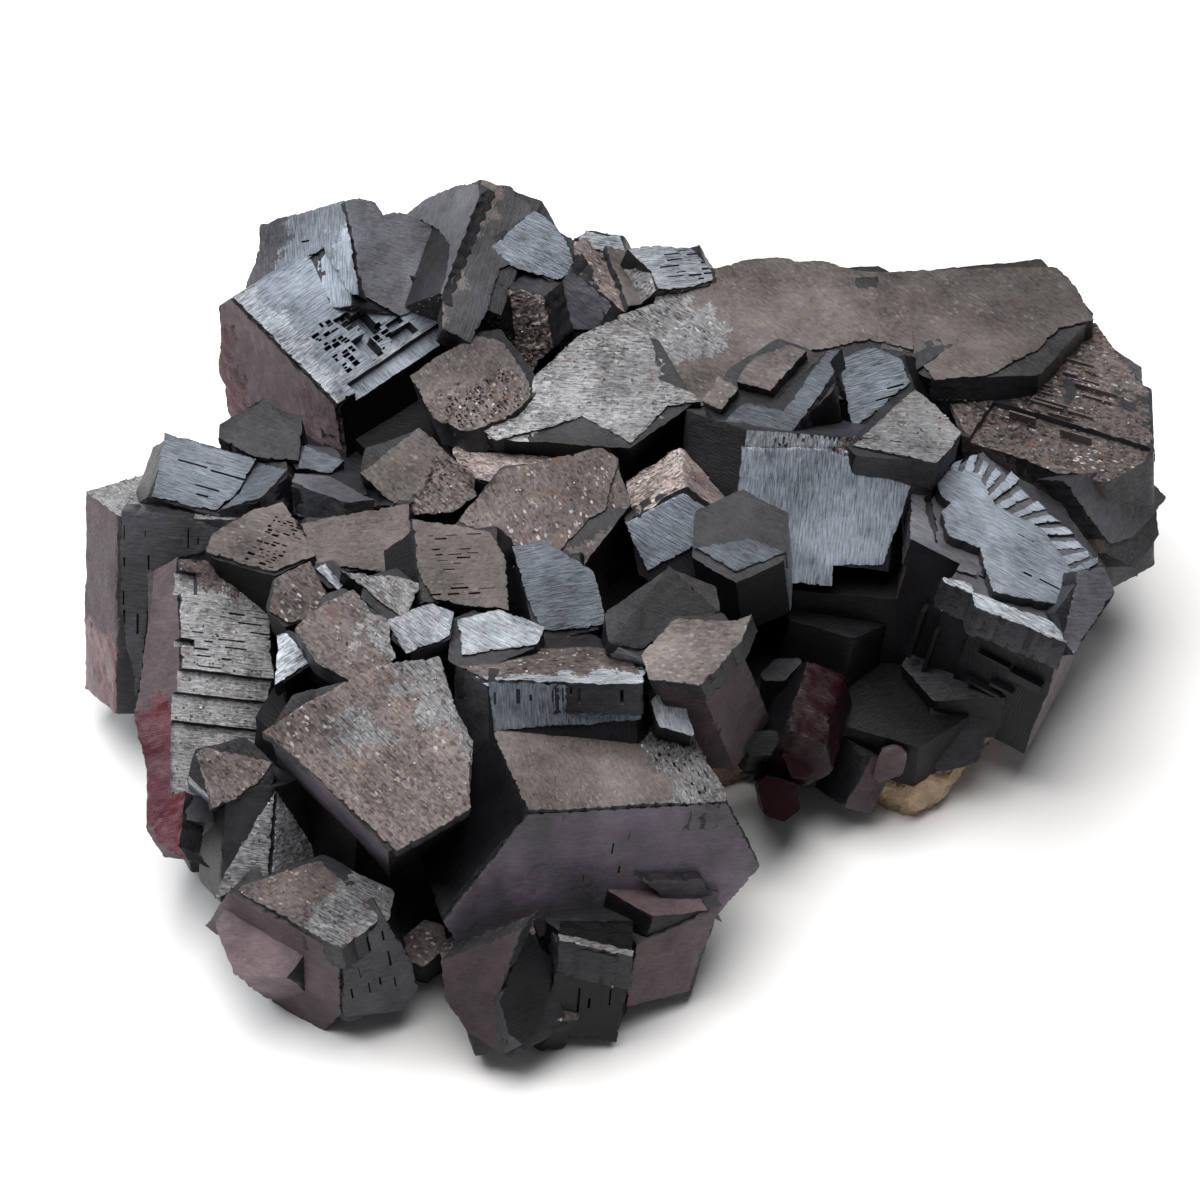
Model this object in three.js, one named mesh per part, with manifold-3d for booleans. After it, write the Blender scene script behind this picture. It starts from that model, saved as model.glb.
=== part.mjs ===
// Vanadinite specimen: a cluster of dark hexagonal prisms grown together over a loose piece of matrix.
// Millimetres. X runs along the cluster, Y away from its front, Z up. It rests on the matrix.
import * as THREE from "three";
import { mergeVertices } from "three/addons/utils/BufferGeometryUtils.js";
import Module from "manifold-3d";

const wasm = await Module();
wasm.setup();

// Driving dimensions
const MATRIX_HEIGHT = 7;
const MATRIX_FOOT = 1.5; // height of the undercut foot of the matrix
const MATRIX_UNDERCUT = 1.2;
const GAP = 0.3; // clearance between the crystals and the matrix
const INSET = 1.5; // how far a raised plate starts below the face that carries it
const FINEST = 0.02; // edges shorter than this are merged
const SIDES = 6;

// Outline of the matrix seen from above, anticlockwise from its left end
const MATRIX_OUTLINE = [
  [-36, -10], [-30, -19], [-14, -25], [2, -21], [17, -13], [25, -11], [30, -17.5], [34, -19.5],
  [38, -17], [43, -9], [49, -1], [52, 12], [44, 26], [24, 31], [2, 29], [-18, 33], [-33, 22], [-40, 6],
];

// Each crystal is a six-sided prism. `at` is its middle. Its long axis leans by `tilt` degrees from
// upright towards the compass heading `toward`, and it is turned by `turn` about that axis. `sides` are
// the distances from the axis to its six side faces, which lie 60 degrees apart unless `skew` bends
// them. It reaches `up` and `down` along the axis.
const FRONT = {
  frontHexagon: {
    at: [-1.5, -36, 16], tilt: 85, toward: -75, turn: 170, sides: [9, 12.5, 16.5, 8.5, 14, 14.5],
    up: 7, down: 7,
  },
  frontBlock: {
    at: [-1.5, -46, 7.5], tilt: 12, toward: 70, turn: -148, sides: [4.5, 4.5, 4, 4.5, 4, 4.5],
    up: 6, down: 6.5,
  },
  frontFoot: {
    at: [-10, -48.5, 7.5], tilt: 30, toward: 128, turn: 122, sides: [5.5, 5.5, 5, 7, 5, 5.2],
    up: 5, down: 6,
  },
  frontSliver: {
    at: [-4.5, -50.5, 3.5], tilt: 20, toward: -20, turn: 10, sides: [2, 2.5, 2.2, 2, 2.4, 2],
    up: 3, down: 3,
  },
  redFoot: {
    at: [5, -41, 8], tilt: 17, toward: 38, turn: -102, sides: [5.5, 6.3, 4.6, 5, 5.5, 6],
    up: 5.5, down: 6.3,
  },
  cornerBlock: {
    at: [-27.5, -45.5, 10.5], tilt: 6, toward: -160, turn: 34, sides: [4.2, 6, 7.3, 5, 6, 9],
    up: 6, down: 7,
  },
  cornerFoot: {
    at: [-32.5, -43.5, 7], tilt: 30, toward: -120, turn: 20, sides: [5, 5, 4.5, 5, 5.5, 5],
    up: 6, down: 4,
  },
  sparklyTop: {
    at: [-21.5, -35, 25.5], tilt: 35, toward: -86, turn: -49, sides: [7.5, 9.5, 8.5, 8, 7.5, 11],
    skew: [0, 15, 13, -15, 0, -15], up: 8, down: 15,
  },
  triangular: {
    at: [-35.5, -31, 13.5], tilt: 27, toward: 82, turn: 180, sides: [6.5, 5.5, 6.5, 6, 6, 5.5],
    up: 5.5, down: 8,
  },
  goldenTop: {
    at: [-38.5, -30, 18.5], tilt: 38, toward: -78, turn: -53, sides: [3.8, 2.9, 4.5, 3.6, 3, 4.2],
    up: 5, down: 8,
  },
  chip: {
    at: [-18, -42.5, 5], tilt: 31, toward: -90, turn: -19, sides: [2.6, 2, 2.4, 2.6, 2, 2.8],
    up: 5, down: 4,
  },
  domedBlock: {
    at: [-5.5, -24.5, 23], tilt: 19, toward: 93, turn: 180, sides: [7, 11.3, 7, 8, 8, 9],
    up: 6, down: 10,
  },
  whiteChip: {
    at: [7, -27, 22], tilt: 24, toward: -80, turn: -85, sides: [2, 2.2, 3.5, 1.8, 3, 2.5],
    up: 5.5, down: 5,
  },
};

const LEFT = {
  farLeft: {
    at: [-45.5, 2.5, 15], tilt: 26, toward: 85, turn: 121, sides: [10.2, 9, 10, 9.5, 9, 10.2],
    up: 11, down: 12,
  },
  linedBlock: {
    at: [-41.5, -18, 17], tilt: 62, toward: 92, turn: 144, sides: [7.3, 5.8, 6.7, 8, 8, 6],
    up: 14, down: 15,
  },
  linedFoot: {
    at: [-40.5, -21, 8], tilt: 20, toward: 120, turn: 20, sides: [6, 6, 5.5, 6, 6.5, 6],
    up: 8, down: 7.5,
  },
  stripedBlue: {
    at: [-42.5, 7.5, 24], tilt: 61, toward: 69, turn: -176, sides: [7.3, 7.8, 7.5, 7.5, 7.5, 7.8],
    up: 4, down: 4,
  },
  darkQuad: {
    at: [-36.5, 11, 26.5], tilt: 18, toward: -100, turn: -20, sides: [3.4, 3.3, 4.6, 3.5, 3.2, 4.7],
    up: 7, down: 8,
  },
  smallQuad: {
    at: [-31, 7, 27], tilt: 17, toward: -80, turn: -16, sides: [1.8, 2.4, 2.6, 1.8, 2.4, 2.6],
    up: 5, down: 6,
  },
  greyStep: {
    at: [-34.5, 2.5, 25.5], tilt: 28, toward: 178, turn: 64, sides: [3.3, 3.4, 4.1, 3.2, 3.5, 3.8],
    skew: [8, 0, 0, 0, 0, -10], up: 6, down: 8,
  },
  tent: {
    at: [-28.5, 0.5, 28], tilt: 19, toward: 86, turn: 165, sides: [3, 5.2, 3, 3.8, 3.8, 4],
    up: 4, down: 8,
  },
  greyTop: {
    at: [-35, -7, 23], tilt: 7, toward: -150, turn: 32, sides: [4.2, 5.6, 4.5, 4.6, 5, 5],
    skew: [0, 0, 15, 0, 0, -12], up: 8.3, down: 8,
  },
  brownNose: {
    at: [-31.5, -13, 24.5], tilt: 30, toward: -92, turn: -41, sides: [3.2, 2.8, 3.1, 3, 3, 3],
    up: 8.5, down: 8,
  },
  pane: {
    at: [-26, -4.5, 24], tilt: 64, toward: 97, turn: 180, sides: [8.4, 9, 8.7, 8.7, 8.7, 9],
    up: 3.5, down: 3.5,
  },
  steppedGrey: {
    at: [-12.5, 16.5, 31], tilt: 15, toward: 176, turn: 26, sides: [6.5, 6.8, 8, 5.5, 8.7, 6.5],
    up: 3, down: 10,
  },
  steppedSmall: {
    at: [-19.5, 2.5, 30], tilt: 30, toward: -96, turn: -35, sides: [4, 4.6, 6.6, 4, 4.7, 6],
    up: 5, down: 9,
  },
};

const CREST = {
  topLeftBlock: {
    at: [-32, 28.5, 25.5], tilt: 89, toward: -131, turn: 97, sides: [10.4, 8, 12.2, 8.5, 9.5, 9.3],
    skew: [5, 0, 0, -5, 0, 0], up: 7, down: 11,
  },
  crestLeft: {
    at: [-29, 41, 28], tilt: 57, toward: 91, turn: 154, sides: [11, 11, 10.5, 8, 8, 10.4],
    up: 5, down: 7,
  },
  crestMiddle: {
    at: [-14, 38.5, 30], tilt: 69, toward: 72, turn: 138, sides: [8, 9.6, 8, 7, 7, 8.9], up: 8, down: 8,
  },
  crestLow: {
    at: [-24, 39, 26], tilt: 30, toward: 60, turn: 10, sides: [8, 8, 7, 7, 8, 8], up: 11, down: 16,
  },
  blueQuad: {
    at: [-7, 37, 35.5], tilt: 41, toward: -93, turn: -26, sides: [2.8, 4.5, 4.2, 3, 3.8, 5.4],
    up: 4.2, down: 7,
  },
  brownRough: {
    at: [-8, 37.5, 28], tilt: 23, toward: 127, turn: 116, sides: [5.5, 8.3, 4.4, 5.7, 7.6, 4.5],
    up: 3.3, down: 10,
  },
  backMound: {
    at: [-2, 34.5, 27.5], tilt: 26, toward: 0, turn: -112, sides: [4.7, 5, 5, 5, 5, 5.2],
    up: 8, down: 8,
  },
  backChip: {
    at: [0, 40, 32.5], tilt: 70, toward: 91, turn: -168, sides: [3.4, 3.5, 3.5, 3.5, 3.5, 3.5],
    up: 1.8, down: 2,
  },
  brightBack: {
    at: [7.5, 35, 31.5], tilt: 67, toward: 105, turn: -173, sides: [5.7, 5.8, 5.8, 5.8, 5.8, 5.8],
    up: 2.6, down: 3,
  },
};

const CENTRE = {
  silverFace: {
    at: [0.5, 14.5, 29], tilt: 21, toward: -94, turn: -10, sides: [6.7, 7.3, 8.6, 8.6, 6, 13.5],
    skew: [8, -8, 10, -8, 0, 0], up: 7, down: 9,
  },
  brownCentre: {
    at: [-5.5, -3, 25], tilt: 21, toward: -106, turn: -50, sides: [8.6, 8, 7, 10, 7.4, 7.7],
    skew: [0, 0, 0, -5, 8, 0], up: 8, down: 8,
  },
  speckledBand: {
    at: [-6.5, 6.5, 22], tilt: 18, toward: 79, turn: 172, sides: [11, 7, 9.5, 12.8, 6.7, 10.2],
    up: 8.5, down: 8,
  },
  linedBrown: {
    at: [-15.5, -11, 27.5], tilt: 66, toward: 97, turn: -176, sides: [6.7, 7.2, 7, 7, 7, 7.2],
    up: 4.2, down: 4.4,
  },
  roundedBrown: {
    at: [-26, -22, 28.5], tilt: 23, toward: -82, turn: -45, sides: [4, 4.8, 4.2, 3.9, 5.1, 4.2],
    skew: [0, 6, 12, 0, 0, -10], up: 5, down: 8,
  },
  whiteLeft: {
    at: [-31.5, -21, 25], tilt: 27, toward: -90, turn: 34, sides: [2, 2.1, 2.2, 2.8, 1.8, 3.3],
    up: 5, down: 6,
  },
  whiteMiddle: {
    at: [-18.5, -19, 27], tilt: 28, toward: -87, turn: -40, sides: [3.1, 2.3, 3.1, 3.1, 2.3, 3.1],
    up: 5, down: 7,
  },
  whiteRight: {
    at: [-12, -21, 25], tilt: 12, toward: -90, turn: -34, sides: [4.2, 3.1, 5.3, 3, 4.3, 3.7],
    up: 5.3, down: 7,
  },
  silverCorner: {
    at: [-22.5, -15.5, 28], tilt: 23, toward: -70, turn: -57, sides: [2.5, 3.3, 2.6, 3, 2.7, 3],
    up: 5, down: 7,
  },
  silverSliver: {
    at: [-28, -11.5, 27.5], tilt: 24, toward: -96, turn: -42, sides: [1.4, 1.8, 1.8, 1.4, 1.6, 2],
    up: 5, down: 7,
  },
  blueCurved: {
    at: [-5, -11.5, 25], tilt: 59, toward: 105, turn: 178, sides: [5.5, 5.8, 5.6, 5.6, 5.6, 5.7],
    up: 4.4, down: 4.8,
  },
  speckledPeak: {
    at: [8.5, -1.5, 29], tilt: 69, toward: -88, turn: 150, sides: [5.2, 5.1, 5.3, 6, 4.6, 6],
    skew: [-6, 0, 8, 0, 0, 0],
    up: 6, down: 7,
  },
  darkWedge: {
    at: [15, -8.5, 31], tilt: 21, toward: -106, turn: -20, sides: [5, 5, 5, 5, 5, 5], up: 3, down: 9,
  },
  darkRoof: {
    at: [6, -19.5, 29], tilt: 26, toward: -84, turn: -28, sides: [5.4, 3.6, 6.2, 5.2, 3.7, 5.9],
    up: 5.5, down: 8,
  },
  beigeTop: {
    at: [11, -24, 25], tilt: 23, toward: -123, turn: 26, sides: [4.1, 3.3, 5.2, 4, 3.4, 4.8],
    up: 10, down: 11,
  },
};

const RIGHT = {
  steppedPlates: {
    at: [19.5, 10, 35.5], tilt: 21, toward: -118, turn: -2, sides: [6.2, 5.2, 6.4, 6, 5.4, 6],
    skew: [0, 15, 7, 0, 0, -20], up: 3.5, down: 9,
  },
  lavender: {
    at: [30, 17.5, 30], tilt: 53, toward: 111, turn: 173, sides: [5.8, 6.3, 6, 6, 6, 6.3],
    up: 3.2, down: 5,
  },
  sparklyApex: {
    at: [32, 4.5, 30], tilt: 6, toward: 8, turn: -97, sides: [4.3, 5.3, 4.8, 5.7, 4.2, 7],
    up: 6, down: 9,
  },
  bluePlate: {
    at: [21.5, 10, 25], tilt: 30, toward: 78, turn: -162, sides: [13.2, 14.2, 13.8, 10, 10, 14],
    up: 7.5, down: 7,
  },
  steppedRight: {
    at: [41.5, -2.5, 17], tilt: 11, toward: -30, turn: -80, sides: [8.6, 11.5, 9, 9.4, 10.6, 9.8],
    skew: [-8, 24, 16, -14, 0, -18], up: 11.5, down: 8.5,
  },
  rightChip: {
    at: [48.5, -9.5, 23.5], tilt: 48, toward: -66, turn: -23, sides: [4.5, 2.2, 3.8, 4, 2.2, 3.5],
    up: 8, down: 10,
  },
  rightFoot: {
    at: [48.5, 2, 12], tilt: 25, toward: -50, turn: 15, sides: [5.5, 5, 4.5, 6, 6, 5], up: 5, down: 9,
  },
  brownRight: {
    at: [50.5, 17.5, 24.5], tilt: 7, toward: -145, turn: 21, sides: [9, 13.6, 11.2, 9, 12, 11],
    skew: [5, 6, 0, -15, -12, 15], up: 6, down: 12,
  },
  rightTip: {
    at: [55.5, 8.5, 20.5], tilt: 62, toward: -40, turn: 12, sides: [4.6, 4.4, 5, 5.4, 5, 5],
    up: 4.5, down: 6,
  },
};

const BACK = {
  plateau: {
    at: [22, 25, 25.5], tilt: 3, toward: -95, turn: -54, sides: [13.7, 11.6, 14, 15, 11, 15],
    skew: [14, 0, -16, 11, 0, -8], up: 9, down: 15,
  },
  plateauRight: {
    at: [41, 27, 25.5], tilt: 6, toward: -80, turn: -60, sides: [10.3, 9, 11, 13.3, 9, 13],
    skew: [12, -6, -15, -10, 0, 15],
    up: 9, down: 15,
  },
  backDark: {
    at: [55.5, 25.5, 23], tilt: 23, toward: 27, turn: -155, sides: [3, 4.7, 4, 3.5, 3.5, 6],
    up: 6, down: 10,
  },
  backFoot: {
    at: [4, 38, 16], tilt: 64, toward: 80, turn: 25, sides: [10, 9, 10, 11, 9, 10], up: 5, down: 8,
  },
  backLow: {
    at: [28, 39, 13], tilt: 58, toward: 98, turn: 5, sides: [9, 10, 9, 9, 10, 9], up: 4.5, down: 8,
  },
  backCorner: {
    at: [47, 34, 15], tilt: 48, toward: 60, turn: 40, sides: [8, 9, 8, 8, 8, 9], up: 5, down: 8,
  },
  backLeft: {
    at: [-32, 38, 14], tilt: 55, toward: 130, turn: 15, sides: [9, 8, 9, 9, 8, 9], up: 6, down: 8,
  },
  leftLow: {
    at: [-43, 17, 12], tilt: 52, toward: 170, turn: 30, sides: [7, 8, 7, 8, 9, 8], up: 4, down: 9,
  },
  rightLow: {
    at: [53, 17, 12], tilt: 40, toward: 20, turn: 0, sides: [6.5, 6, 7, 7, 6, 5.5], up: 4, down: 8,
  },
};

// Small crystals in the hollow at the lower right
const HOLLOW = {
  hollowTop: {
    at: [19.5, -12.5, 12], tilt: 4, toward: 114, turn: 154, sides: [2.2, 1.6, 2.8, 2, 1.5, 2.6],
    up: 5.2, down: 6,
  },
  hollowPurple: {
    at: [22, -17.5, 13.5], tilt: 88, toward: 76, turn: 135, sides: [3.8, 3.8, 3.8, 3.8, 3.8, 3.8],
    up: 6, down: 5,
  },
  hollowDark: {
    at: [24.5, -4, 14.5], tilt: 14, toward: 44, turn: -148, sides: [5.5, 6, 5.8, 5.8, 5.8, 6],
    up: 4, down: 8,
  },
  hollowSplit: {
    at: [28, -16, 5.5], tilt: 35, toward: 40, turn: 129, sides: [3.5, 3.2, 3.5, 3.4, 3.4, 3.4],
    up: 3.3, down: 3.5,
  },
  hollowMauve: {
    at: [31.5, -17, 8], tilt: 53, toward: -97, turn: 21, sides: [1.7, 1.7, 2.2, 2, 1.5, 2.6],
    up: 4, down: 5,
  },
  hollowLedge: {
    at: [38, -11, 7.5], tilt: 60, toward: -80, turn: 10, sides: [4, 3.6, 4.4, 4, 3.6, 4.4],
    up: 4, down: 6,
  },
  hollowBlock: {
    at: [40, -7.5, 11.5], tilt: 7, toward: -130, turn: 40, sides: [5.9, 6.3, 6, 6, 6, 6.3],
    up: 3, down: 4,
  },
  hollowShiny: {
    at: [19, -22, 7.5], tilt: 49, toward: -90, turn: -78, sides: [2, 2.3, 2.5, 2.2, 2.1, 2.8],
    up: 4, down: 8,
  },
  hollowRed: {
    at: [20.5, -19, 11], tilt: 55, toward: -74, turn: -17, sides: [2.4, 2, 1.8, 2.4, 2, 1.8],
    up: 4, down: 6,
  },
  hollowSmall: {
    at: [17, -19.5, 12], tilt: 37, toward: -87, turn: 2, sides: [1.5, 1.5, 2, 1.5, 1.5, 2],
    up: 5, down: 6,
  },
};

// Massive growth under the crystals, which they all stand on
const GROUND = {
  groundFront: {
    at: [-18, -22, 11], tilt: 8, toward: 30, turn: 12, sides: [16, 15, 17, 17, 15, 16], up: 9, down: 9,
  },
  groundLeft: {
    at: [-28, 6, 13], tilt: 6, toward: 200, turn: 25, sides: [15, 17, 14, 15, 16, 15], up: 10, down: 11,
  },
  groundCrest: {
    at: [-18, 27, 14], tilt: 5, toward: 90, turn: 5, sides: [15, 13, 14, 15, 12, 14], up: 10, down: 12,
  },
  groundCentre: {
    at: [2, 2, 13], tilt: 4, toward: -40, turn: 18, sides: [14, 16, 15, 14, 15, 14], up: 10, down: 10,
  },
  groundRight: {
    at: [30, 10, 12], tilt: 5, toward: 20, turn: 8, sides: [18, 16, 17, 17, 16, 15], up: 9, down: 10,
  },
  groundHollow: {
    at: [21, -6, 9], tilt: 5, toward: -60, turn: 22, sides: [7, 8, 9, 9, 8, 8], up: 5, down: 7,
  },
  groundLedge: {
    at: [32, -8.5, 9.5], tilt: 4, toward: -60, turn: 10, sides: [9, 7, 7.5, 9, 9, 8.5], up: 2.5, down: 4,
  },
  groundBack: {
    at: [24, 26, 13], tilt: 6, toward: 80, turn: 14, sides: [22, 12, 13, 22, 12, 12], up: 8, down: 11,
  },
};

const CRYSTALS = { ...FRONT, ...LEFT, ...CREST, ...CENTRE, ...RIGHT, ...BACK, ...HOLLOW, ...GROUND };

// Plates, ledges and notches on the crystals' faces. `u` runs along the face's upper edge and `v` away
// from it, in millimetres, and `height` is how far the plate stands proud, or below zero how deep it is.
const RELIEF = [
  { on: "topLeftBlock", face: "p1", u: [2, 5], v: [7, 9.5], height: -1.3 },
  { on: "topLeftBlock", face: "p1", u: [4, 7.5], v: [9.3, 11.5], height: -1.6 },
  { on: "topLeftBlock", face: "p1", u: [1.5, 3.2], v: [11.2, 15], height: -1.2 },
  { on: "topLeftBlock", face: "p1", u: [6, 8.2], v: [7.5, 9.7], height: -0.8 },
  { on: "topLeftBlock", face: "p1", u: [3.4, 4.4], v: [12, 14.5], height: -0.9 },
  { on: "topLeftBlock", face: "p1", u: [-1, 1.1], v: [2.6, 18], height: -0.9 },
  { on: "steppedPlates", face: "t", u: [0.2, 5], v: [2.5, 9], height: 0.9 },
  { on: "steppedPlates", face: "t", u: [0.5, 9], v: [5, 11.5], height: 1.8 },
  { on: "bluePlate", face: "p0", u: [-1, 5.3], v: [11.5, 16], height: -2.5 },
  { on: "bluePlate", face: "p0", u: [10.8, 22], v: [12, 16], height: -2.5 },
  { on: "bluePlate", face: "p0", u: [11.8, 12.5], v: [-1, 2.3], height: -1.5 },
  { on: "steppedRight", face: "t", u: [-1, 5.5], v: [-1, 1.6], height: -1.2 },
  { on: "steppedRight", face: "t", u: [2.5, 7.4], v: [1.4, 3.2], height: -1 },
  { on: "steppedRight", face: "t", u: [6.5, 19], v: [-1, 4.2], height: -0.9 },
  { on: "steppedRight", face: "t", u: [8.6, 19], v: [-1, 2.3], height: -1.6 },
  { on: "steppedRight", face: "p0", u: [-1, 8.8], v: [1.5, 16], height: -0.7 },
  { on: "steppedRight", face: "p0", u: [-1, 5.2], v: [-1, 18], height: -1.4 },
  { on: "linedBlock", face: "p1", u: [-1, 1.6], v: [1.2, 4], height: -1.1 },
  { on: "linedBlock", face: "p1", u: [-1, 1.3], v: [8.8, 9.8], height: -1.1 },
  { on: "linedBlock", face: "p1", u: [-1, 12], v: [12.2, 24], height: -0.7 },
  { on: "linedBlock", face: "p1", u: [-1, 12], v: [14.6, 25], height: -1.3 },
  { on: "linedBlock", face: "p1", u: [-1, 12], v: [17.6, 26], height: -2 },
  { on: "stripedBlue", face: "p0", u: [-1, 1.4], v: [4.6, 8], height: -1.2 },
  { on: "steppedGrey", face: "t", u: [1.2, 5.5], v: [2.2, 4.4], height: -1 },
  { on: "steppedSmall", face: "t", u: [4, 8.5], v: [3.4, 5.6], height: -1 },
  { on: "frontBlock", face: "t", u: [3.5, 8], v: [-1, 2.4], height: -1.2 },
  { on: "domedBlock", face: "p0", u: [-1, 17], v: [-1, 1.2], height: -0.6 },
  { on: "silverFace", face: "t", u: [4, 14], v: [9.5, 15], height: 0.5 },
  { on: "plateau", face: "t", u: [2, 16], v: [12, 20], height: 0.7 },
  { on: "brownRight", face: "t", u: [1, 20], v: [-1, 6.5], height: -1 },
];

// Rows of small notches cut like brickwork along the edge of a face
const BRICKS = [
  { on: "steppedRight", face: "t", u: [10, 18], v: [8, 17], rows: 5, columns: 2, height: -0.8 },
  { on: "greyTop", face: "t", u: [5, 8.5], v: [1, 7], rows: 4, columns: 2, height: -0.7 },
  { on: "brightBack", face: "p0", u: [0.5, 6], v: [0.4, 5], rows: 3, columns: 3, height: -0.6 },
  { on: "crestLeft", face: "p0", u: [2.5, 8], v: [4, 9.5], rows: 3, columns: 2, height: -0.8 },
  { on: "frontHexagon", face: "p0", u: [0.4, 3.4], v: [1, 11], rows: 5, columns: 2, height: -0.5 },
];

const MATERIALS = {
  vanadinite_crystals: { color: 0x51494a, roughness: 0.42, metalness: 0.25 },
  matrix: { color: 0x9c7a4b, roughness: 0.9, metalness: 0 },
};

const radians = THREE.MathUtils.degToRad;

// Corner k of a crystal's section lies between its side faces k and k + 1
function sectionCorners({ sides, skew = [0, 0, 0, 0, 0, 0] }) {
  const corners = [];
  for (let k = 0; k < SIDES; k += 1) {
    const next = (k + 1) % SIDES;
    const a = radians(60 * k + skew[k]);
    const b = radians(60 * (k + 1) + skew[next]);
    const across = Math.sin(b - a);
    corners.push(new THREE.Vector2(
      (sides[k] * Math.sin(b) - sides[next] * Math.sin(a)) / across,
      (sides[next] * Math.cos(a) - sides[k] * Math.cos(b)) / across,
    ));
  }
  return corners;
}

function placement({ at, tilt, toward, turn }) {
  const place = new THREE.Matrix4().makeTranslation(...at);
  place.multiply(new THREE.Matrix4().makeRotationZ(radians(toward)));
  place.multiply(new THREE.Matrix4().makeRotationY(radians(tilt)));
  return place.multiply(new THREE.Matrix4().makeRotationZ(radians(turn)));
}

function solidOf(geometry) {
  const bare = geometry.clone();
  bare.deleteAttribute("normal");
  bare.deleteAttribute("uv");
  const merged = mergeVertices(bare, 1e-4);
  return new wasm.Manifold(new wasm.Mesh({
    numProp: 3,
    vertProperties: new Float32Array(merged.attributes.position.array),
    triVerts: new Uint32Array(merged.index.array),
  }));
}

function extruded(points, low, high) {
  const shape = new THREE.Shape(points);
  const geometry = new THREE.ExtrudeGeometry(shape, { depth: high - low, bevelEnabled: false });
  return geometry.translate(0, 0, low);
}

function crystalSolid(crystal) {
  const geometry = extruded(sectionCorners(crystal), -crystal.down, crystal.up);
  return solidOf(geometry.applyMatrix4(placement(crystal)));
}

// The frame of a face: its corner of origin, and its directions along, up and out of the face. On an
// end face "up" is inward from the edge.
function faceFrame(crystal, face) {
  const corners = sectionCorners(crystal);
  const side = face === "t" ? 0 : Number(face[1]);
  const start = corners[(side + SIDES - 1) % SIDES];
  const end = corners[side];
  const along = new THREE.Vector3(end.x - start.x, end.y - start.y, 0).normalize();
  const axis = new THREE.Vector3(0, 0, 1);
  const outward = new THREE.Vector3().crossVectors(along, axis);
  const frame = new THREE.Matrix4();
  if (face === "t") {
    frame.makeBasis(along, outward.clone().negate(), axis);
  } else {
    frame.makeBasis(along, axis, outward);
  }
  frame.setPosition(start.x, start.y, crystal.up);
  return placement(crystal).multiply(frame);
}

function block({ on, face, u, v, height }) {
  const crystal = CRYSTALS[on];
  const sense = face === "t" ? 1 : -1;
  const [bottom, top] = height > 0 ? [-INSET, height] : [height, INSET];
  const geometry = new THREE.BoxGeometry(u[1] - u[0], v[1] - v[0], top - bottom);
  geometry.translate((u[0] + u[1]) / 2, (sense * (v[0] + v[1])) / 2, (top + bottom) / 2);
  return solidOf(geometry.applyMatrix4(faceFrame(crystal, face)));
}

function bricksOf({ on, face, u, v, rows, columns, height }) {
  const bricks = [];
  const long = (u[1] - u[0]) / columns;
  const wide = (v[1] - v[0]) / rows;
  for (let row = 0; row < rows; row += 1) {
    for (let column = 0; column < columns; column += 1) {
      if ((row + column) % 2 === 0) {
        const start = u[0] + (column + 0.25 * (row % 3)) * long;
        const top = v[0] + row * wide;
        bricks.push({ on, face, u: [start, start + 0.9 * long], v: [top, top + 0.8 * wide], height });
      }
    }
  }
  return bricks;
}

function growthWithRelief(names) {
  const steps = [...RELIEF, ...BRICKS.flatMap(bricksOf)];
  return names.map((name) => {
    let crystal = crystalSolid(CRYSTALS[name]);
    for (const step of steps.filter(({ on }) => on === name)) {
      crystal = step.height > 0 ? crystal.add(block(step)) : crystal.subtract(block(step));
    }
    return crystal;
  });
}

function grownOutline(points, by) {
  const [outline] = new wasm.CrossSection([points]).offset(by, "Miter", 2).toPolygons();
  return outline.map(([x, y]) => new THREE.Vector2(x, y));
}

// The matrix is a rough slab: a foot that is drawn in, a wider middle and a smaller top
function matrixSolid(gap) {
  const shoulder = MATRIX_HEIGHT - 2;
  const layer = (by, low, high) => {
    const outline = grownOutline(MATRIX_OUTLINE, by + gap);
    return solidOf(extruded(outline, low - gap, high + gap));
  };
  const foot = layer(-MATRIX_UNDERCUT, 0, MATRIX_FOOT);
  const middle = layer(0, MATRIX_FOOT, shoulder);
  return foot.add(middle).add(layer(-MATRIX_UNDERCUT, shoulder, MATRIX_HEIGHT));
}

function largestPart(solid) {
  return solid.decompose().reduce((best, part) => (part.volume() > best.volume() ? part : best));
}

function geometryOf(solid) {
  const mesh = solid.getMesh();
  const geometry = new THREE.BufferGeometry();
  geometry.setAttribute("position", new THREE.BufferAttribute(mesh.vertProperties, 3));
  geometry.setIndex(new THREE.BufferAttribute(mesh.triVerts, 1));
  geometry.computeVertexNormals();
  return geometry;
}

function floorCut() {
  const slab = new THREE.BoxGeometry(200, 200, 40);
  return solidOf(slab.translate(0, 0, -20));
}

// Crumbs that only touch the rest at an edge come apart when the solid is read back, and are dropped
function crystalsSolid() {
  const all = growthWithRelief(Object.keys(CRYSTALS)).reduce((sum, crystal) => sum.add(crystal));
  const whole = largestPart(all.subtract(floorCut()).subtract(matrixSolid(GAP)));
  return largestPart(solidOf(geometryOf(whole.simplify(FINEST))));
}

function namedMesh(name, solid) {
  const mesh = new THREE.Mesh(geometryOf(solid), new THREE.MeshStandardMaterial(MATERIALS[name]));
  mesh.name = name;
  return mesh;
}

const specimen = new THREE.Group();
specimen.add(namedMesh("vanadinite_crystals", crystalsSolid()));
specimen.add(namedMesh("matrix", matrixSolid(0)));

// Stand the specimen with the middle of its box over the origin
const box = new THREE.Box3().setFromObject(specimen);
const middle = box.getCenter(new THREE.Vector3());
specimen.position.set(-middle.x, -middle.y, -box.min.z);

export default specimen;
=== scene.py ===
"""Dresses the vanadinite specimen: striated, stepped hexagonal crystals on a lump of rusty matrix.

The crystals' places and sizes are those of the solids, in millimetres, but crestLow stands 5 mm lower.
Each crystal is meshed face by face on a fine grid, pressed in by the relief of its finish, notched, and
joined to its neighbours.
"""

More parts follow.
